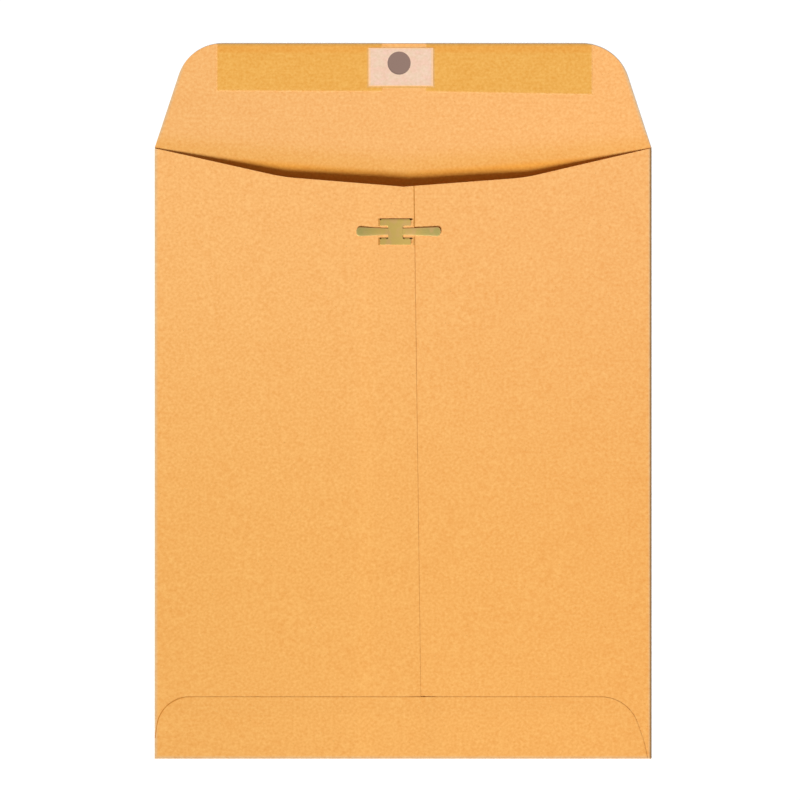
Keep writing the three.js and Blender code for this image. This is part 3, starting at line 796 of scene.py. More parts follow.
share_up = np.linspace(0, 1, PANEL_ROWS)[:, None]
seam_x = seam_bottom_x + (SEAM_TOP[0] - seam_bottom_x) * share_up
low_column = (MOUTH_LOW[0] + panel_half_width) / (SEAM_TOP[0] + panel_half_width)
left_columns = np.sort(np.append(np.linspace(0, 1, LEFT_COLUMNS), low_column))
left_x = -panel_half_width + (seam_x + panel_half_width) * left_columns
from_left = mouth_edge(left_x, -panel_half_width, LEFT_KINK)
from_right = mouth_edge(left_x, panel_half_width, RIGHT_KINK)
left_mouth = np.where(left_x < MOUTH_LOW[0], from_left, from_right)
left_y = panel_bottom_y + (left_mouth - panel_bottom_y) * share_up
seam_thinning = SEAM_THINNING["bottom"] * (1 - share_up) + SEAM_THINNING["top"] * share_up
left_level, left_thickness = left_panel_level(left_x, left_y), thinned(seam_x - left_x, seam_thinning)
left_back = sheet("left_back_sheet", left_x, left_y, left_level, left_thickness, back_kraft, "pocket")

right_columns = even_steps(hidden_edge_x, panel_half_width, RIGHT_GRID)
right_x = np.repeat(right_columns[None, :], PANEL_ROWS, axis=0)
right_mouth = mouth_edge(right_x, panel_half_width, RIGHT_KINK)
right_y = panel_bottom_y + (right_mouth - panel_bottom_y) * share_up
right_level = pocket_ceiling(right_x, right_y)
right_back = sheet("right_back_sheet", right_x, right_y, right_level, paper_thickness, back_kraft, "pocket")
print("left panel", left_back.dimensions[:], "right panel", right_back.dimensions[:])

# %% [markdown]
# ## Slits for the clasp
# The legs of the clasp go through two slits in both back panels. The slits are a little longer than the
# bars, more so on the right, which leaves a small dark opening at each end, and they stand a hair clear of
# the bar's upper edge. The knife that punched them leaves rounded ends, so the cutters are long prisms with
# round ends.

# %% Cut the slits
METAL = 0.35 * MM
SLIT_OVERRUN = {"left": 0.2 * MM, "right": 0.9 * MM}
SLIT_CLEARANCE = {"top": 0.2 * MM, "bottom": 0.1 * MM}
SLIT_END_STEPS = 9
CUT_DEPTH = 20 * MM
plate_top = clasp_high.z
plate_level = plate_top - METAL
bend_outer = (plate_top - clasp_low.z) / 2
bend_inner = bend_outer - METAL
bar_tops = (clasp_high.y, clasp_low.y + BAR_HEIGHT)


def slit_outline(bar_top, clearance):
    left = clasp_low.x - SLIT_OVERRUN["left"]
    right = clasp_high.x + SLIT_OVERRUN["right"]
    low, high = bar_top - bend_outer, bar_top + clearance
    radius = (high - low) / 2
    turns = np.linspace(-np.pi / 2, np.pi / 2, SLIT_END_STEPS)
    right_end = arc(right - radius, low + radius, radius, radius, turns)
    left_end = arc(left + radius, high - radius, -radius, -radius, turns)
    return right_end + left_end


for panel in (left_back, right_back):
    for bar_top, clearance in zip(bar_tops, SLIT_CLEARANCE.values()):
        cut_out(panel, prism(slit_outline(bar_top, clearance), -CUT_DEPTH, CUT_DEPTH))
for panel, node in ((left_back, "left_back_panel"), (right_back, "right_back_panel")):
    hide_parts(node)
print("slits", round((clasp_high.x - clasp_low.x + sum(SLIT_OVERRUN.values())) / MM, 1), "mm long")

# %% [markdown]
# ## Rolled creases
# At the sides and at the bottom the paper turns over in a small roll, about half a millimetre high. Each is a
# half ring of paper, swept along its edge. The right one turns away from the lamp and shows as a dark line,
# which painted shade in the paper deepens; the left one and the bottom one catch the light.

# %% Side and bottom rolls
ROLL_STEPS = 10
RIGHT_FOOT_INSET = 1.9 * MM  # from the right crease to the foot of the bottom flap
FOOT_STEP = 0.1 * MM  # past the foot, over which the roll drops to the back panel


def side_roll(name, side, node):
    turns = np.linspace(-np.pi / 2, np.pi / 2, ROLL_STEPS + 1)
    middle = side_fold_height / 2
    hollow = fold_gap / 2
    ring = arc(0, middle, side * middle, middle, turns) + arc(0, middle, side * hollow, hollow, turns[::-1])
    if side > 0:
        ring.reverse()
    lengths = even_steps(panel_bottom_y, shoulder_y, GRID)
    root = side * panel_half_width
    roll = loft(name, [[(root + out, y, level) for out, level in ring] for y in lengths], kraft, "pocket")
    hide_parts(node)
    return roll


side_roll("left_side_roll", -1, "left_side_fold")
side_roll("right_side_roll", 1, "right_side_fold")

bottom_reach = panel_bottom_y - bottom_y
foot_x = half_width - RIGHT_FOOT_INSET


def bottom_ring(x):
    """Section of the bottom roll, which ends in the bottom flap, or past its foot in the back panel."""
    end_level = bottom_flap_level(x, panel_bottom_y) if x <= foot_x else pocket_ceiling(x, panel_bottom_y)
    height = (end_level + paper_thickness) / 2
    turns = np.linspace(np.pi / 2, 3 * np.pi / 2, ROLL_STEPS + 1)
    outer = arc(panel_bottom_y, height, bottom_reach, -height, turns)
    inner_reach, inner_height = bottom_reach - paper_thickness, height - paper_thickness
    inner = arc(panel_bottom_y, height, inner_reach, -inner_height, turns[::-1])
    return [(x, y, level) for y, level in outer + inner]


ring_places = [*even_steps(-half_width, foot_x, GRID), foot_x + FOOT_STEP, half_width]
bottom_roll = loft("bottom_roll", [bottom_ring(place) for place in ring_places], kraft, "pocket")
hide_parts("bottom_fold")
print("rolls", round(side_fold_height / MM, 2), "mm high at the sides")

# %% [markdown]
# ## Bottom flap
# The bottom flap is turned up over both back panels and glued down. Its left side stands straight for a
# centimetre and ends in a small round corner, and its right side leans in over a longer curve. The outline
# is a list of corners, each rounded by its own radius.

# %% Outline of the bottom flap
BOTTOM_FLAP_HEIGHT = 30.9 * MM
FLAP_THINNING = 0.5  # share of the paper that is pressed away at the cut edge
FLAP_GRID = 1.5 * MM
FLAP_COLUMNS = 113
SAME_ROW = 7  # decimals of a metre, beyond which two rows count as one
LEFT_FOOT = {"straight": 10.6 * MM, "top_inset": 3.0 * MM, "radius": 16.2 * MM}
RIGHT_FOOT = {
    "bend_inset": 3.6 * MM, "bend_rise": 8.7 * MM, "bend_radius": 40.0 * MM,
    "top_inset": 11.4 * MM, "radius": 19.5 * MM,
}
bottom_flap_top = bottom_y + BOTTOM_FLAP_HEIGHT


def rounded_path(corners, steps=16):
    """An open path through corners (x, y, radius), each rounded by an arc of that radius."""
    path = [np.array(corners[0][:2])]
    for before, corner, after in zip(corners, corners[1:], corners[2:]):
        here = np.array(corner[:2])
        back = np.array(before[:2]) - here
        ahead = np.array(after[:2]) - here
        back /= np.linalg.norm(back)
        ahead /= np.linalg.norm(ahead)
        half = math.acos(float(back @ ahead)) / 2
        if corner[2] == 0:
            path.append(here)
            continue
        setback = corner[2] / math.tan(half)
        middle = here + (back + ahead) / np.linalg.norm(back + ahead) * corner[2] / math.sin(half)
        start, end = here + back * setback, here + ahead * setback
        for share in np.linspace(0, 1, steps + 1):
            spoke = (start - middle) * (1 - share) + (end - middle) * share
            path.append(middle + spoke / np.linalg.norm(spoke) * corner[2])
    path.append(np.array(corners[-1][:2]))
    return np.array(path)


def distance_to_path(x, y, path):
    places = np.stack([x, y], axis=-1)[..., None, :]
    starts, steps = path[:-1], np.diff(path, axis=0)
    along = np.clip(((places - starts) * steps).sum(-1) / (steps ** 2).sum(-1), 0, 1)
    return np.linalg.norm(places - starts - along[..., None] * steps, axis=-1).min(-1)


left_path = rounded_path([
    (-half_width, panel_bottom_y, 0),
    (-half_width, bottom_y + LEFT_FOOT["straight"], 0),
    (-half_width + LEFT_FOOT["top_inset"], bottom_flap_top, LEFT_FOOT["radius"]),
    (0, bottom_flap_top, 0),
])
right_path = rounded_path([
    (foot_x, panel_bottom_y, 0),
    (half_width - RIGHT_FOOT["bend_inset"], bottom_y + RIGHT_FOOT["bend_rise"], RIGHT_FOOT["bend_radius"]),
    (half_width - RIGHT_FOOT["top_inset"], bottom_flap_top, RIGHT_FOOT["radius"]),
    (0, bottom_flap_top, 0),
])
print("outline of the bottom flap with", len(left_path) + len(right_path), "points")

# %% [markdown]
# ### Sheet of the bottom flap
# Each row of the sheet runs from one side of the outline to the other, so its rim follows the rounded
# corners. The paper is pressed thinner towards the cut edge, and the distance of each point from that edge
# is kept for the finish.

# %% Sheet of the bottom flap
left_corner = left_path[:-1]
right_corner = right_path[:-1]
flap_rows = np.unique(np.round(np.concatenate([
    even_steps(panel_bottom_y, bottom_flap_top, FLAP_GRID), left_corner[:, 1], right_corner[:, 1],
]), SAME_ROW))
flap_left = np.interp(flap_rows, left_corner[:, 1], left_corner[:, 0])
flap_right = np.interp(flap_rows, right_corner[:, 1], right_corner[:, 0])
flap_x, flap_y = from_side_to_side(flap_left, flap_right, flap_rows, FLAP_COLUMNS)
to_cut_edge = distance_to_path(flap_x, flap_y, np.concatenate([left_path[1:-1], right_path[-2::-1]]))
flap_level = bottom_flap_level(flap_x, flap_y)
flap_thickness = thinned(np.maximum(to_cut_edge, panel_bottom_y + EDGE_RUN - flap_y), FLAP_THINNING)
bottom_flap = sheet("bottom_flap_sheet", flap_x, flap_y, flap_level, flap_thickness, kraft, "pocket")
keep_on_points(bottom_flap, "inset", np.tile(to_cut_edge.ravel(), 2))
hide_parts("bottom_flap")
print("bottom flap", [round(measure / MM, 1) for measure in bottom_flap.dimensions])

# %% [markdown]
# ## Dried gum
# Two strips of moistening gum run along the edge of the flap, and stop under the patch. Dried gum is a thin
# golden film with a slight gloss. The roller that laid it leaves faint streaks along the flap and a deeper bead
# near the edge, and painted shade darkens it in a narrow line at the edge itself, so its colour is mixed by the
# height on the flap, with streaks on top.


# %% Gum finish
GUM_TONE = colour(237, 173, 80)
GUM_BEAD_TONE = colour(236, 166, 72)
GUM_BEAD = (5.5 * MM, 3.5 * MM)  # below the flap's edge: where the bead begins, where it is full
# painted shade: a darker line along the flap's edge
GUM_EDGE_SHADE_TONE = colour(212, 158, 80)
GUM_EDGE_SHADE = (1.4 * MM, 0.5 * MM)
GUM_RELIEF = 0.01 * MM


def gum_finish():
    gum = Finish("dried_gum", roughness=0.42, specular=0.3)
    x, y = gum.axis("X"), gum.axis("Y")
    bead = gum.between(y, flap_top_y - GUM_BEAD[0], flap_top_y - GUM_BEAD[1])
    # painted shade along the edge of the flap
    lip = gum.between(y, flap_top_y - GUM_EDGE_SHADE[0], flap_top_y - GUM_EDGE_SHADE[1])
    film = gum.mix(lip, gum.mix(bead, GUM_TONE, GUM_BEAD_TONE), GUM_EDGE_SHADE_TONE)
    film = gum.mix(gum.attribute("film"), KRAFT_PALE, film)
    film = gum.mix(patch_border(gum, x, y), film, PATCH_LINE_TONE)
    streaks = gum.noise(across=18.0, along=0.7, turn=1.0, detail=2.0, seed=2.0)
    flecks = gum.noise(across=1.45, along=1.35, detail=1.0, seed=4.0)
    patches = gum.noise(across=9.0, along=7.0, detail=1.0, seed=14.0)
    fibres = gum.noise(across=0.3, along=1.5, turn=30, seed=6.0)
    grain = [(streaks, 0.03), (flecks, 0.12), (patches, 0.03), (fibres, 0.04)]
    gum.relief(flecks, GUM_RELIEF)
    return gum.finish_colour(gum.mottle(film, grain, spread=(0.9, 2.0, 4.5)))


gum = gum_finish()
print("gum", GUM_TONE[:3])

# %% [markdown]
# ### Gum strips
# The strips follow the edge of the flap and drop with its round corners. Their lower edge slants a little.
# The film thins out at its ends and along that edge. How much of its colour is left there is kept at each
# point, as an attribute named film, and the finish mixes the gum with plain kraft by it.


# %% Gum strips
def flap_top(x, side):
    """Height of the flap's edge on the picture, which drops where the round corner begins."""
    radius = FLAP_CORNER_RADIUS[side]
    past = np.maximum(np.abs(x) - flap_half_width(flap_top_y, side), 0)
    return flap_top_y - radius + np.sqrt(radius ** 2 - past ** 2)


# how far each strip reaches below the flap's edge, at its left and its right end
GUM_DEPTH = {"left": (23.85 * MM, 24.2 * MM), "right": (24.3 * MM, 25.7 * MM)}
END_FADE = 1.1 * MM  # over which the colour of the film dies out at its edges
END_STEPS = 6
EDGE_FADE = 0.5 * MM  # over which the film thins out there
EDGE_SHARE = 0.15  # of the film's thickness that is left at the very edge
STRIP_ROWS = 14
for side, depths in GUM_DEPTH.items():
    low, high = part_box(f"flap_gum_{side}")
    fade_steps = np.linspace(0, END_FADE, END_STEPS)
    x_steps = np.unique(np.concatenate([
        low.x + fade_steps, even_steps(low.x + END_FADE, high.x - END_FADE, GRID), high.x - fade_steps,
    ]))
    strip_low = flap_top_y - np.interp(x_steps, (low.x, high.x), depths)
    above_fade = flap_top(x_steps, side) - strip_low - END_FADE
    share_above = np.linspace(0, 1, STRIP_ROWS)[1:, None]
    faded_rows = fade_steps[:, None] + np.zeros_like(x_steps)
    strip_y = strip_low + np.concatenate([faded_rows, END_FADE + above_fade * share_above])
    strip_x = np.tile(x_steps, (len(strip_y), 1))
    inset = np.minimum(np.minimum(strip_x - low.x, high.x - strip_x), strip_y - strip_low)
    strip_level = np.full_like(strip_x, low.z)
    left_over = EDGE_SHARE + (1 - EDGE_SHARE) * np.clip(inset / EDGE_FADE, 0, 1)
    strip_name, node = f"{side}_gum_strip", f"flap_gum_{side}"
    strip = sheet(strip_name, strip_x, strip_y, strip_level, (high.z - low.z) * left_over, gum, "flap")
    keep_on_points(strip, "film", np.tile(smooth_rise(inset, 0, END_FADE).ravel(), 2))
    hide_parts(node)
    print(strip_name, [round(measure / MM, 2) for measure in strip.dimensions])

# %% [markdown]
# ## Patch
# A small piece of thin pinkish paper strengthens the hole. It is a tissue with long fibres and faint clouds.
# Its rim is a little warmer, where the gum has soaked into it.


# %% Patch finish
PATCH_TONES = (colour(243, 204, 180), colour(240, 209, 182))
PATCH_CLOUDS = (0.35, 0.65)  # of a noise from 0 to 1, over which one tone turns into the other
PATCH_RIM_TONE = colour(251, 204, 158)
PATCH_RIM_SIDES = (-1.4 * MM, -0.5 * MM)  # from the side, inwards: where the rim ends, where it is full
PATCH_RIM_ENDS = (-0.9 * MM, -0.3 * MM)
PATCH_RELIEF = 0.008 * MM


def patch_finish():
    patch = Finish("patch_paper", roughness=0.75, specular=0.2)
    past_x, past_y = past_patch(patch, patch.axis("X"), patch.axis("Y"))
    rim_x, rim_y = patch.between(past_x, *PATCH_RIM_SIDES), patch.between(past_y, *PATCH_RIM_ENDS)
    clouds = patch.noise(across=4.5, along=3.4, turn=20, detail=1.0, seed=9.0)
    tissue = patch.mix(patch.between(clouds, *PATCH_CLOUDS), *PATCH_TONES)
    paper = patch.mix(patch.math("MAXIMUM", rim_x, rim_y), tissue, PATCH_RIM_TONE)
    fibres = patch.noise(across=0.3, along=1.8, turn=62, seed=7.0)
    flecks = patch.noise(across=1.35, along=1.25, detail=1.0, seed=19.0)
    patch.relief(fibres, PATCH_RELIEF)
    return patch.finish_colour(patch.mottle(paper, [(fibres, 0.04), (flecks, 0.11)], spread=(1, 0.95, 1.9)))


patch_paper = patch_finish()
print("patch paper", PATCH_TONES[0][:3])

# %% [markdown]
# ### Hole patch
# The patch lies on the ends of the two gum strips and sinks onto the bare paper between them. Its points
# stand closer together than those of the paper, so that it can follow that step. The cutter that made the
# hole of the flap is made again for the patch.

# %% Hole patch
PATCH_GRID = (0.5 * MM, 0.7 * MM)
gum_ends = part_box("flap_gum_left")[1].x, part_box("flap_gum_right")[0].x
SINK_RUN = 1.5 * MM  # past the end of a strip, over which the patch sinks onto the bare paper
patch_columns = even_steps(patch_low.x, patch_high.x, PATCH_GRID[0])
patch_rows = even_steps(patch_low.y, patch_high.y, PATCH_GRID[1])
patch_x, patch_y = np.meshgrid(patch_columns, patch_rows)
gum_thickness = patch_low.z - paper_thickness
past_left_gum = smooth_rise(patch_x, gum_ends[0], gum_ends[0] + SINK_RUN)
past_right_gum = smooth_rise(-patch_x, -gum_ends[1], -gum_ends[1] + SINK_RUN)
patch_level = patch_low.z - gum_thickness * past_left_gum * past_right_gum
patch_thickness = patch_high.z - patch_low.z
patch = sheet("hole_patch_sheet", patch_x, patch_y, patch_level, patch_thickness, patch_paper, "flap")
cut_out(patch, hole_cutter())
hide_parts("hole_patch")
print("patch", [round(measure / MM, 2) for measure in patch.dimensions])

# %% [markdown]
# ## Clasp metal
# The clasp is stamped from thin brass-plated sheet. It is dull, greenish at the tips of the prongs where the
# plating is thin, warmer and more yellow at the waist. Under the film of handling it still mirrors its
# surroundings softly, so it is a rough metal whose tone goes from one colour to the other with distance from
# the middle, with ruddy spots and fine stamping marks. The edges of the prongs carry a painted highlight, and
# are found by the inset that is kept at their points.


# %% Brass finish
BRASS_WAIST_TONE = colour(180, 151, 82)
BRASS_TIP_TONE = colour(158, 142, 82)
BRASS_TIPS = (6 * MM, 19 * MM)  # from the clasp's middle: where the tone begins to change, where it has
BRASS_CLOUDING = 0.3  # how far the clouds shift that change
RUDDY_TONE = colour(186, 146, 96)
RUDDY_PEAKS = (0.45, 0.7)  # of a noise from 0 to 1
RUDDY_SHARE = 0.6
# painted highlight along the edges of the prongs
EDGE_HIGHLIGHT_TONE = colour(204, 164, 106)
EDGE_HIGHLIGHT_FADE = (0.7 * MM, 0.2 * MM)  # from the edge: where the highlight ends, where it is full
EDGE_HIGHLIGHT_SHARE = 0.35
BRASS_ROUGHNESS = (0.34, 0.52)  # between which the grain varies it
BRASS_RELIEF = 0.004 * MM


def brass_finish(middle_x):
    brass = Finish("clasp_brass", roughness=0.42, metallic=1.0)
    x = brass.axis("X")
    tips = brass.between(brass.math("ABSOLUTE", brass.math("SUBTRACT", x, middle_x)), *BRASS_TIPS)
    clouds = brass.noise(across=2.5, along=1.8, detail=2.0, seed=1.0)
    centred = brass.math("SUBTRACT", tips, BRASS_CLOUDING / 2)
    tone = brass.math("MULTIPLY_ADD", clouds, BRASS_CLOUDING, centred, clamp=True)
    metal = brass.mix(tone, BRASS_WAIST_TONE, BRASS_TIP_TONE)
    ruddy = brass.between(brass.noise(across=3.6, along=5.0, detail=1.0, seed=26.0), *RUDDY_PEAKS)
    metal = brass.mix(brass.math("MULTIPLY", ruddy, RUDDY_SHARE), metal, RUDDY_TONE)
    # painted highlight along the prongs' edges
    metal = brass.mix(brass.math("MULTIPLY", near_edge(brass, *EDGE_HIGHLIGHT_FADE), EDGE_HIGHLIGHT_SHARE), metal, EDGE_HIGHLIGHT_TONE)
    marks = brass.noise(across=6.0, along=0.12, seed=3.0)
    grain = brass.noise(across=0.25, along=0.2, seed=15.0)
    to_right = brass.between(x, clasp_low.x, clasp_high.x)
    result = brass.mottle(metal, [(marks, 0.06), (grain, 0.08), (clouds, 0.03), (to_right, 0.065)])
    smooth, rough = BRASS_ROUGHNESS
    wear = brass.math("MULTIPLY_ADD", grain, rough - smooth, smooth)
    brass.links.new(wear, brass.shader.inputs["Roughness"])
    brass.relief(brass.math("ADD", marks, grain), BRASS_RELIEF)
    return brass.finish_colour(result)


clasp_x = (clasp_low.x + clasp_high.x) / 2
clasp_y = (clasp_low.y + clasp_high.y) / 2
brass = brass_finish(clasp_x)
print("clasp", round((clasp_high.x - clasp_low.x) / MM, 2), "mm wide at its bars")

# %% [markdown]
# ## Clasp plate
# The plate is shaped like a letter H on its side: two bars joined by a waist. It starts as a flat face with
# rounded corners, is given its thickness, and gets the soft edges that stamping and tumbling leave. The rim
# of each flat face is marked sharp, so that the face mirrors as one flat surface inside its rounded edge.


# %% Plate of the clasp
WAIST_WIDTH = 7.2 * MM
WAIST_FILLET = 0.9 * MM
BAR_CORNER = 0.5 * MM
STAMPED_EDGE = 0.09 * MM
TAB_LENGTH = 2.6 * MM
TAB_INSET = 0.6 * MM
FLAT = 0.999  # upward share of the normal from which a face counts as flat
EDGE_SEGMENTS = 3
FILLET_STEPS = 5


def stamped_plate(name, outline, level, finish, body):
    """A flat outline with thickness whose edges are rounded off."""
    shape = bmesh.new()
    ring = [shape.verts.new((x, y, level)) for x, y in outline]
    face = shape.faces.new(ring)
    raised = bmesh.ops.extrude_face_region(shape, geom=[face])
    moved = [item for item in raised["geom"] if isinstance(item, bmesh.types.BMVert)]
    bmesh.ops.translate(shape, vec=(0, 0, METAL), verts=moved)
    bmesh.ops.recalc_face_normals(shape, faces=shape.faces)
    level_edges = [edge for edge in shape.edges if abs(edge.verts[0].co.z - edge.verts[1].co.z) < METAL / 2]
    bmesh.ops.bevel(
        shape, geom=level_edges, offset=STAMPED_EDGE, segments=EDGE_SEGMENTS, profile=0.5, affect="EDGES"
    )
    for face in shape.faces:
        face.smooth = True
        if abs(face.normal.z) > FLAT:
            for edge in face.edges:
                edge.smooth = False
    mesh = bpy.data.meshes.new(name)
    shape.to_mesh(mesh)
    shape.free()
    mesh.materials.append(finish)
    piece = bpy.data.objects.new(name, mesh)
    bpy.context.scene.collection.objects.link(piece)
    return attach(piece, body)


bar_half = (clasp_high.x - clasp_low.x) / 2
waist_half = WAIST_WIDTH / 2
top_bar_flat = bar_tops[0] - bend_outer
bottom_bar_flat = bar_tops[1] - bend_outer
half_outline = rounded_path([
    (clasp_x, clasp_low.y, 0),
    (clasp_x + bar_half, clasp_low.y, BAR_CORNER),
    (clasp_x + bar_half, bottom_bar_flat, 0),
    (clasp_x + waist_half, bottom_bar_flat, WAIST_FILLET),
    (clasp_x + waist_half, clasp_high.y - BAR_HEIGHT, WAIST_FILLET),
    (clasp_x + bar_half, clasp_high.y - BAR_HEIGHT, BAR_CORNER),
    (clasp_x + bar_half, top_bar_flat, 0),
    (clasp_x, top_bar_flat, 0),
], steps=FILLET_STEPS)
right_half = half_outline[1:-1]
left_half = [(2 * clasp_x - x, y) for x, y in right_half[::-1]]
plate_outline = [tuple(point) for point in right_half] + left_half
plate = stamped_plate("clasp_plate", plate_outline, plate_level, brass, "pocket")
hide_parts("clasp_base")
print("plate", [round(measure / MM, 2) for measure in plate.dimensions])

# %% [markdown]
# ## Legs of the clasp
# Three legs roll over the edges of the bars, down through the slits and back under the paper. Each is the
# section of a hairpin, swept along its bar, and a little smaller at both ends, where the stamped edge is
# rounded.

# %% Legs of the clasp
LEG_STEPS = 13
LEG_END = 0.93  # size of a leg's section at its two ends, where the stamped edge is rounded


def hairpin(name, bar_top, start, end):
    """A leg of the clasp: over the edge of the bar, down through the slit and back under the paper."""
    bend_y, bend_z = bar_top - bend_outer, plate_level - bend_inner
    turns = np.linspace(-np.pi / 2, np.pi / 2, LEG_STEPS)
    outer = arc(bend_y, bend_z, bend_outer, bend_outer, turns)
    inner = arc(bend_y, bend_z, bend_inner, bend_inner, turns[::-1])
    tab_end = bend_y - TAB_LENGTH
    section = np.array([(tab_end, bend_z - bend_outer), *outer, *inner, (tab_end, bend_z - bend_inner)])
    middle = section.mean(axis=0)
    places = (start, start + STAMPED_EDGE, end - STAMPED_EDGE, end)
    rings = []
    for place, size in zip(places, (LEG_END, 1, 1, LEG_END)):
        rings.append([(clasp_x + place, *point) for point in middle + (section - middle) * size])
    leg = loft(name, rings, brass, "pocket")
    return leg


leg_start, leg_end = waist_half + WAIST_FILLET, bar_half - TAB_INSET
hairpin("clasp_top_leg", bar_tops[0], -leg_end, leg_end)
hairpin("clasp_bottom_leg_left", bar_tops[1], -leg_end, -leg_start)
hairpin("clasp_bottom_leg_right", bar_tops[1], leg_start, leg_end)
print("three legs, the top one", round(2 * leg_end / MM, 2), "mm long")

# %% [markdown]
# ## Prongs
# The two prongs grow out of the waist, widen towards their round tips and lie spread flat. On the real clasp
# they are the same metal as the plate and bend at its edge. So each prong is a loft of rounded sections that
# starts at the waist, and its first 0.8 mm, where the real prong bends when it is raised, holds its sections
# close together. The stamp has crowned it a little: its middle comes to stand higher than its edges over the
# first 3 mm.


# %% Prongs
PRONG_ROOT_WIDTH = 3.25 * MM
PRONG_TIP_WIDTH = 4.7 * MM
PRONG_TIP_RADIUS = 1.9 * MM
PRONG_BEND = 0.8 * MM
CROWN = 0.06 * MM  # how much lower the edges of a prong lie than its middle
CROWN_RUN = 3.0 * MM  # from the root, over which the crown grows
CROWN_PLACES = np.linspace(0.85, -0.85, 9)  # of the points on the crown, as shares of its half width
CROWN_POWER = 3  # how late and how steeply the crown falls towards the edges
EDGE_STEPS = 3
BEND_STEPS = 9
TIP_STEPS = 10
TIP_EDGE = METAL / 2.8  # rounding of the last section, which closes the tip
RIM_INSET = 0.02 * MM  # the inset that the outermost points keep


def prong_half_width(off, length):
    straight = PRONG_ROOT_WIDTH / 2 + (PRONG_TIP_WIDTH - PRONG_ROOT_WIDTH) / 2 * off / length
    into_tip = off - (length - PRONG_TIP_RADIUS)
    if into_tip <= 0:
        return straight
    return straight - PRONG_TIP_RADIUS + math.sqrt(max(PRONG_TIP_RADIUS ** 2 - into_tip ** 2, 0))


def rounded_section(half, edge, crown):
    """A section of the prong, across it and up: flat below, crowned above, with its edges rounded."""
    reach, upper = half - edge, METAL - crown - edge
    quarter = np.linspace(0, np.pi / 2, EDGE_STEPS + 1)
    lower_right = arc(reach, edge, edge, edge, quarter - np.pi / 2)
    upper_right = arc(reach, upper, edge, edge, quarter)
    crowned = [(reach * place, METAL - crown * abs(place) ** CROWN_POWER) for place in CROWN_PLACES]
    upper_left = arc(-reach, upper, edge, edge, quarter + np.pi / 2)
    lower_left = arc(-reach, edge, edge, edge, quarter + np.pi)
    return lower_right + upper_right + crowned + upper_left + lower_left


def prong(name, side, node, joint):
    low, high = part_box(node)
    root_x = joints[joint]["pos_m"][0]
    length = (high.x - root_x) if side > 0 else (root_x - low.x)
    tip_start = length - PRONG_TIP_RADIUS
    tip_angles = np.radians(np.linspace(0, 90, TIP_STEPS))
    offsets = np.concatenate([
        np.linspace(0, PRONG_BEND, BEND_STEPS)[:-1],
        even_steps(PRONG_BEND, tip_start, MM)[:-1],
        tip_start + PRONG_TIP_RADIUS * np.sin(tip_angles),
    ])
    rings = []
    insets = []
    for off in offsets:
        half = prong_half_width(off, length)
        edge = STAMPED_EDGE if off < length else TIP_EDGE
        section = rounded_section(half, min(edge, half), CROWN * smooth_rise(off, 0, CROWN_RUN))
        insets.append([max(min(half - abs(across), length - off), RIM_INSET) for across, up in section])
        rings.append([(root_x + side * off, clasp_y + across, plate_level + up) for across, up in section])
    if side > 0:
        rings.reverse()
        insets.reverse()
    piece = loft(name, rings, brass)
    keep_on_points(piece, "inset", insets)
    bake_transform(piece)
    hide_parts(node)
    print(name, round(length / MM, 1), "mm long")
    return piece


prong("left_prong_metal", -1, "left_prong", "left_prong_bend")
prong("right_prong_metal", 1, "right_prong", "right_prong_bend")

# %% [markdown]
# ## Glue
# The layers of glue in the centre seam and under the bottom flap hardly show, only as a thin line where a
# sheet ends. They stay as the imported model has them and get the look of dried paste: brown, with small lumps.


# %% Glue finish
GLUE_TONE = colour(214, 160, 92)
GLUE_RELIEF = 0.01 * MM


def glue_finish():
    glue = Finish("paper_glue", roughness=0.5, specular=0.4)
    lumps = glue.noise(across=1.2, along=1.2, detail=3.0, seed=12.0)
    glue.relief(lumps, GLUE_RELIEF)
    return glue.finish_colour(glue.mottle(GLUE_TONE, [(lumps, 0.15)]))


glue = glue_finish()
for node in ("centre_seam_glue", "bottom_flap_glue"):
    layer = frame["nodes"][node]
    layer.data.materials.clear()
    layer.data.materials.append(glue)
    print(node, "keeps its", len(layer.data.polygons), "faces")

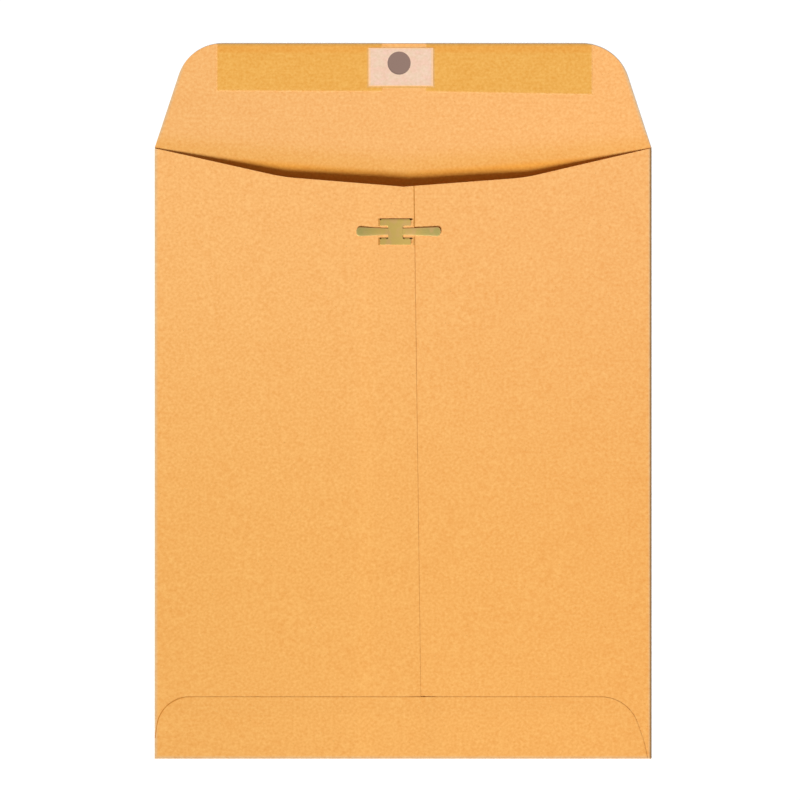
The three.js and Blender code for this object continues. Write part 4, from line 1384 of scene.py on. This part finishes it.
# %% [markdown]
# ## Table
# The envelope lies on a plain pale table. The table is white paper that takes the shadow, and it also glows a
# little where it is seen directly, so that it comes out white without more light on the envelope. Under the
# hole of the open flap it carries a painted mauve-grey shade, the tone that the picture shows through the hole,
# and most of that shade glows rather than takes the light. The tone is placed by the patch, so it leaves the
# table when the flap is turned.

# %% Table
TABLE_SIZE = 3.0
TABLE_LEVEL = -0.1 * MM
TABLE_GLOW = 0.2
TABLE_WHITE = 0.88
# painted shade: a mauve-grey disc on the table under the hole, mostly glowing
HOLE_SHADE_TONE = colour(150, 124, 113)
HOLE_SHADE_GLOW = 0.7
HOLE_SHADE_MARGIN = 0.4 * MM  # of the tone past the hole's edge
HOLE_SHADE_TONE_FADE = 0.1 * MM


def scaled(tone, amount):
    return (*(amount * value for value in tone[:3]), 1)


table_finish = Finish("pale_table", roughness=0.9, specular=0.0)
where = table_finish.nodes["Texture Coordinate"]
where.object = patch
distance = table_finish.nodes.new("ShaderNodeVectorMath")
distance.operation = "DISTANCE"
table_finish.links.new(table_finish.place, distance.inputs[0])
distance.inputs[1].default_value = (hole_x, hole_y, TABLE_LEVEL)
hole_rim = HOLE_DIAMETER / 2 + HOLE_SHADE_MARGIN
away = table_finish.between(distance.outputs["Value"], hole_rim, hole_rim + HOLE_SHADE_TONE_FADE)
seen = seen_directly(table_finish.nodes, table_finish.links)
table_glow = table_finish.mix(away, scaled(HOLE_SHADE_TONE, HOLE_SHADE_GLOW), scaled((1, 1, 1), TABLE_GLOW))
table_finish.links.new(table_glow, table_finish.shader.inputs["Emission Color"])
table_finish.links.new(seen, table_finish.shader.inputs["Emission Strength"])
table_tone = table_finish.mix(away, scaled(HOLE_SHADE_TONE, 1 - HOLE_SHADE_GLOW), scaled((1, 1, 1), TABLE_WHITE))
table_material = table_finish.finish_colour(table_tone)

table_half = TABLE_SIZE / 2
corner_signs = ((-1, -1), (1, -1), (1, 1), (-1, 1))
corners = [(across * table_half, along * table_half, TABLE_LEVEL) for across, along in corner_signs]
table = make_object("table", corners, [(0, 1, 2, 3)], table_material)
print("table at", TABLE_LEVEL / MM, "mm")
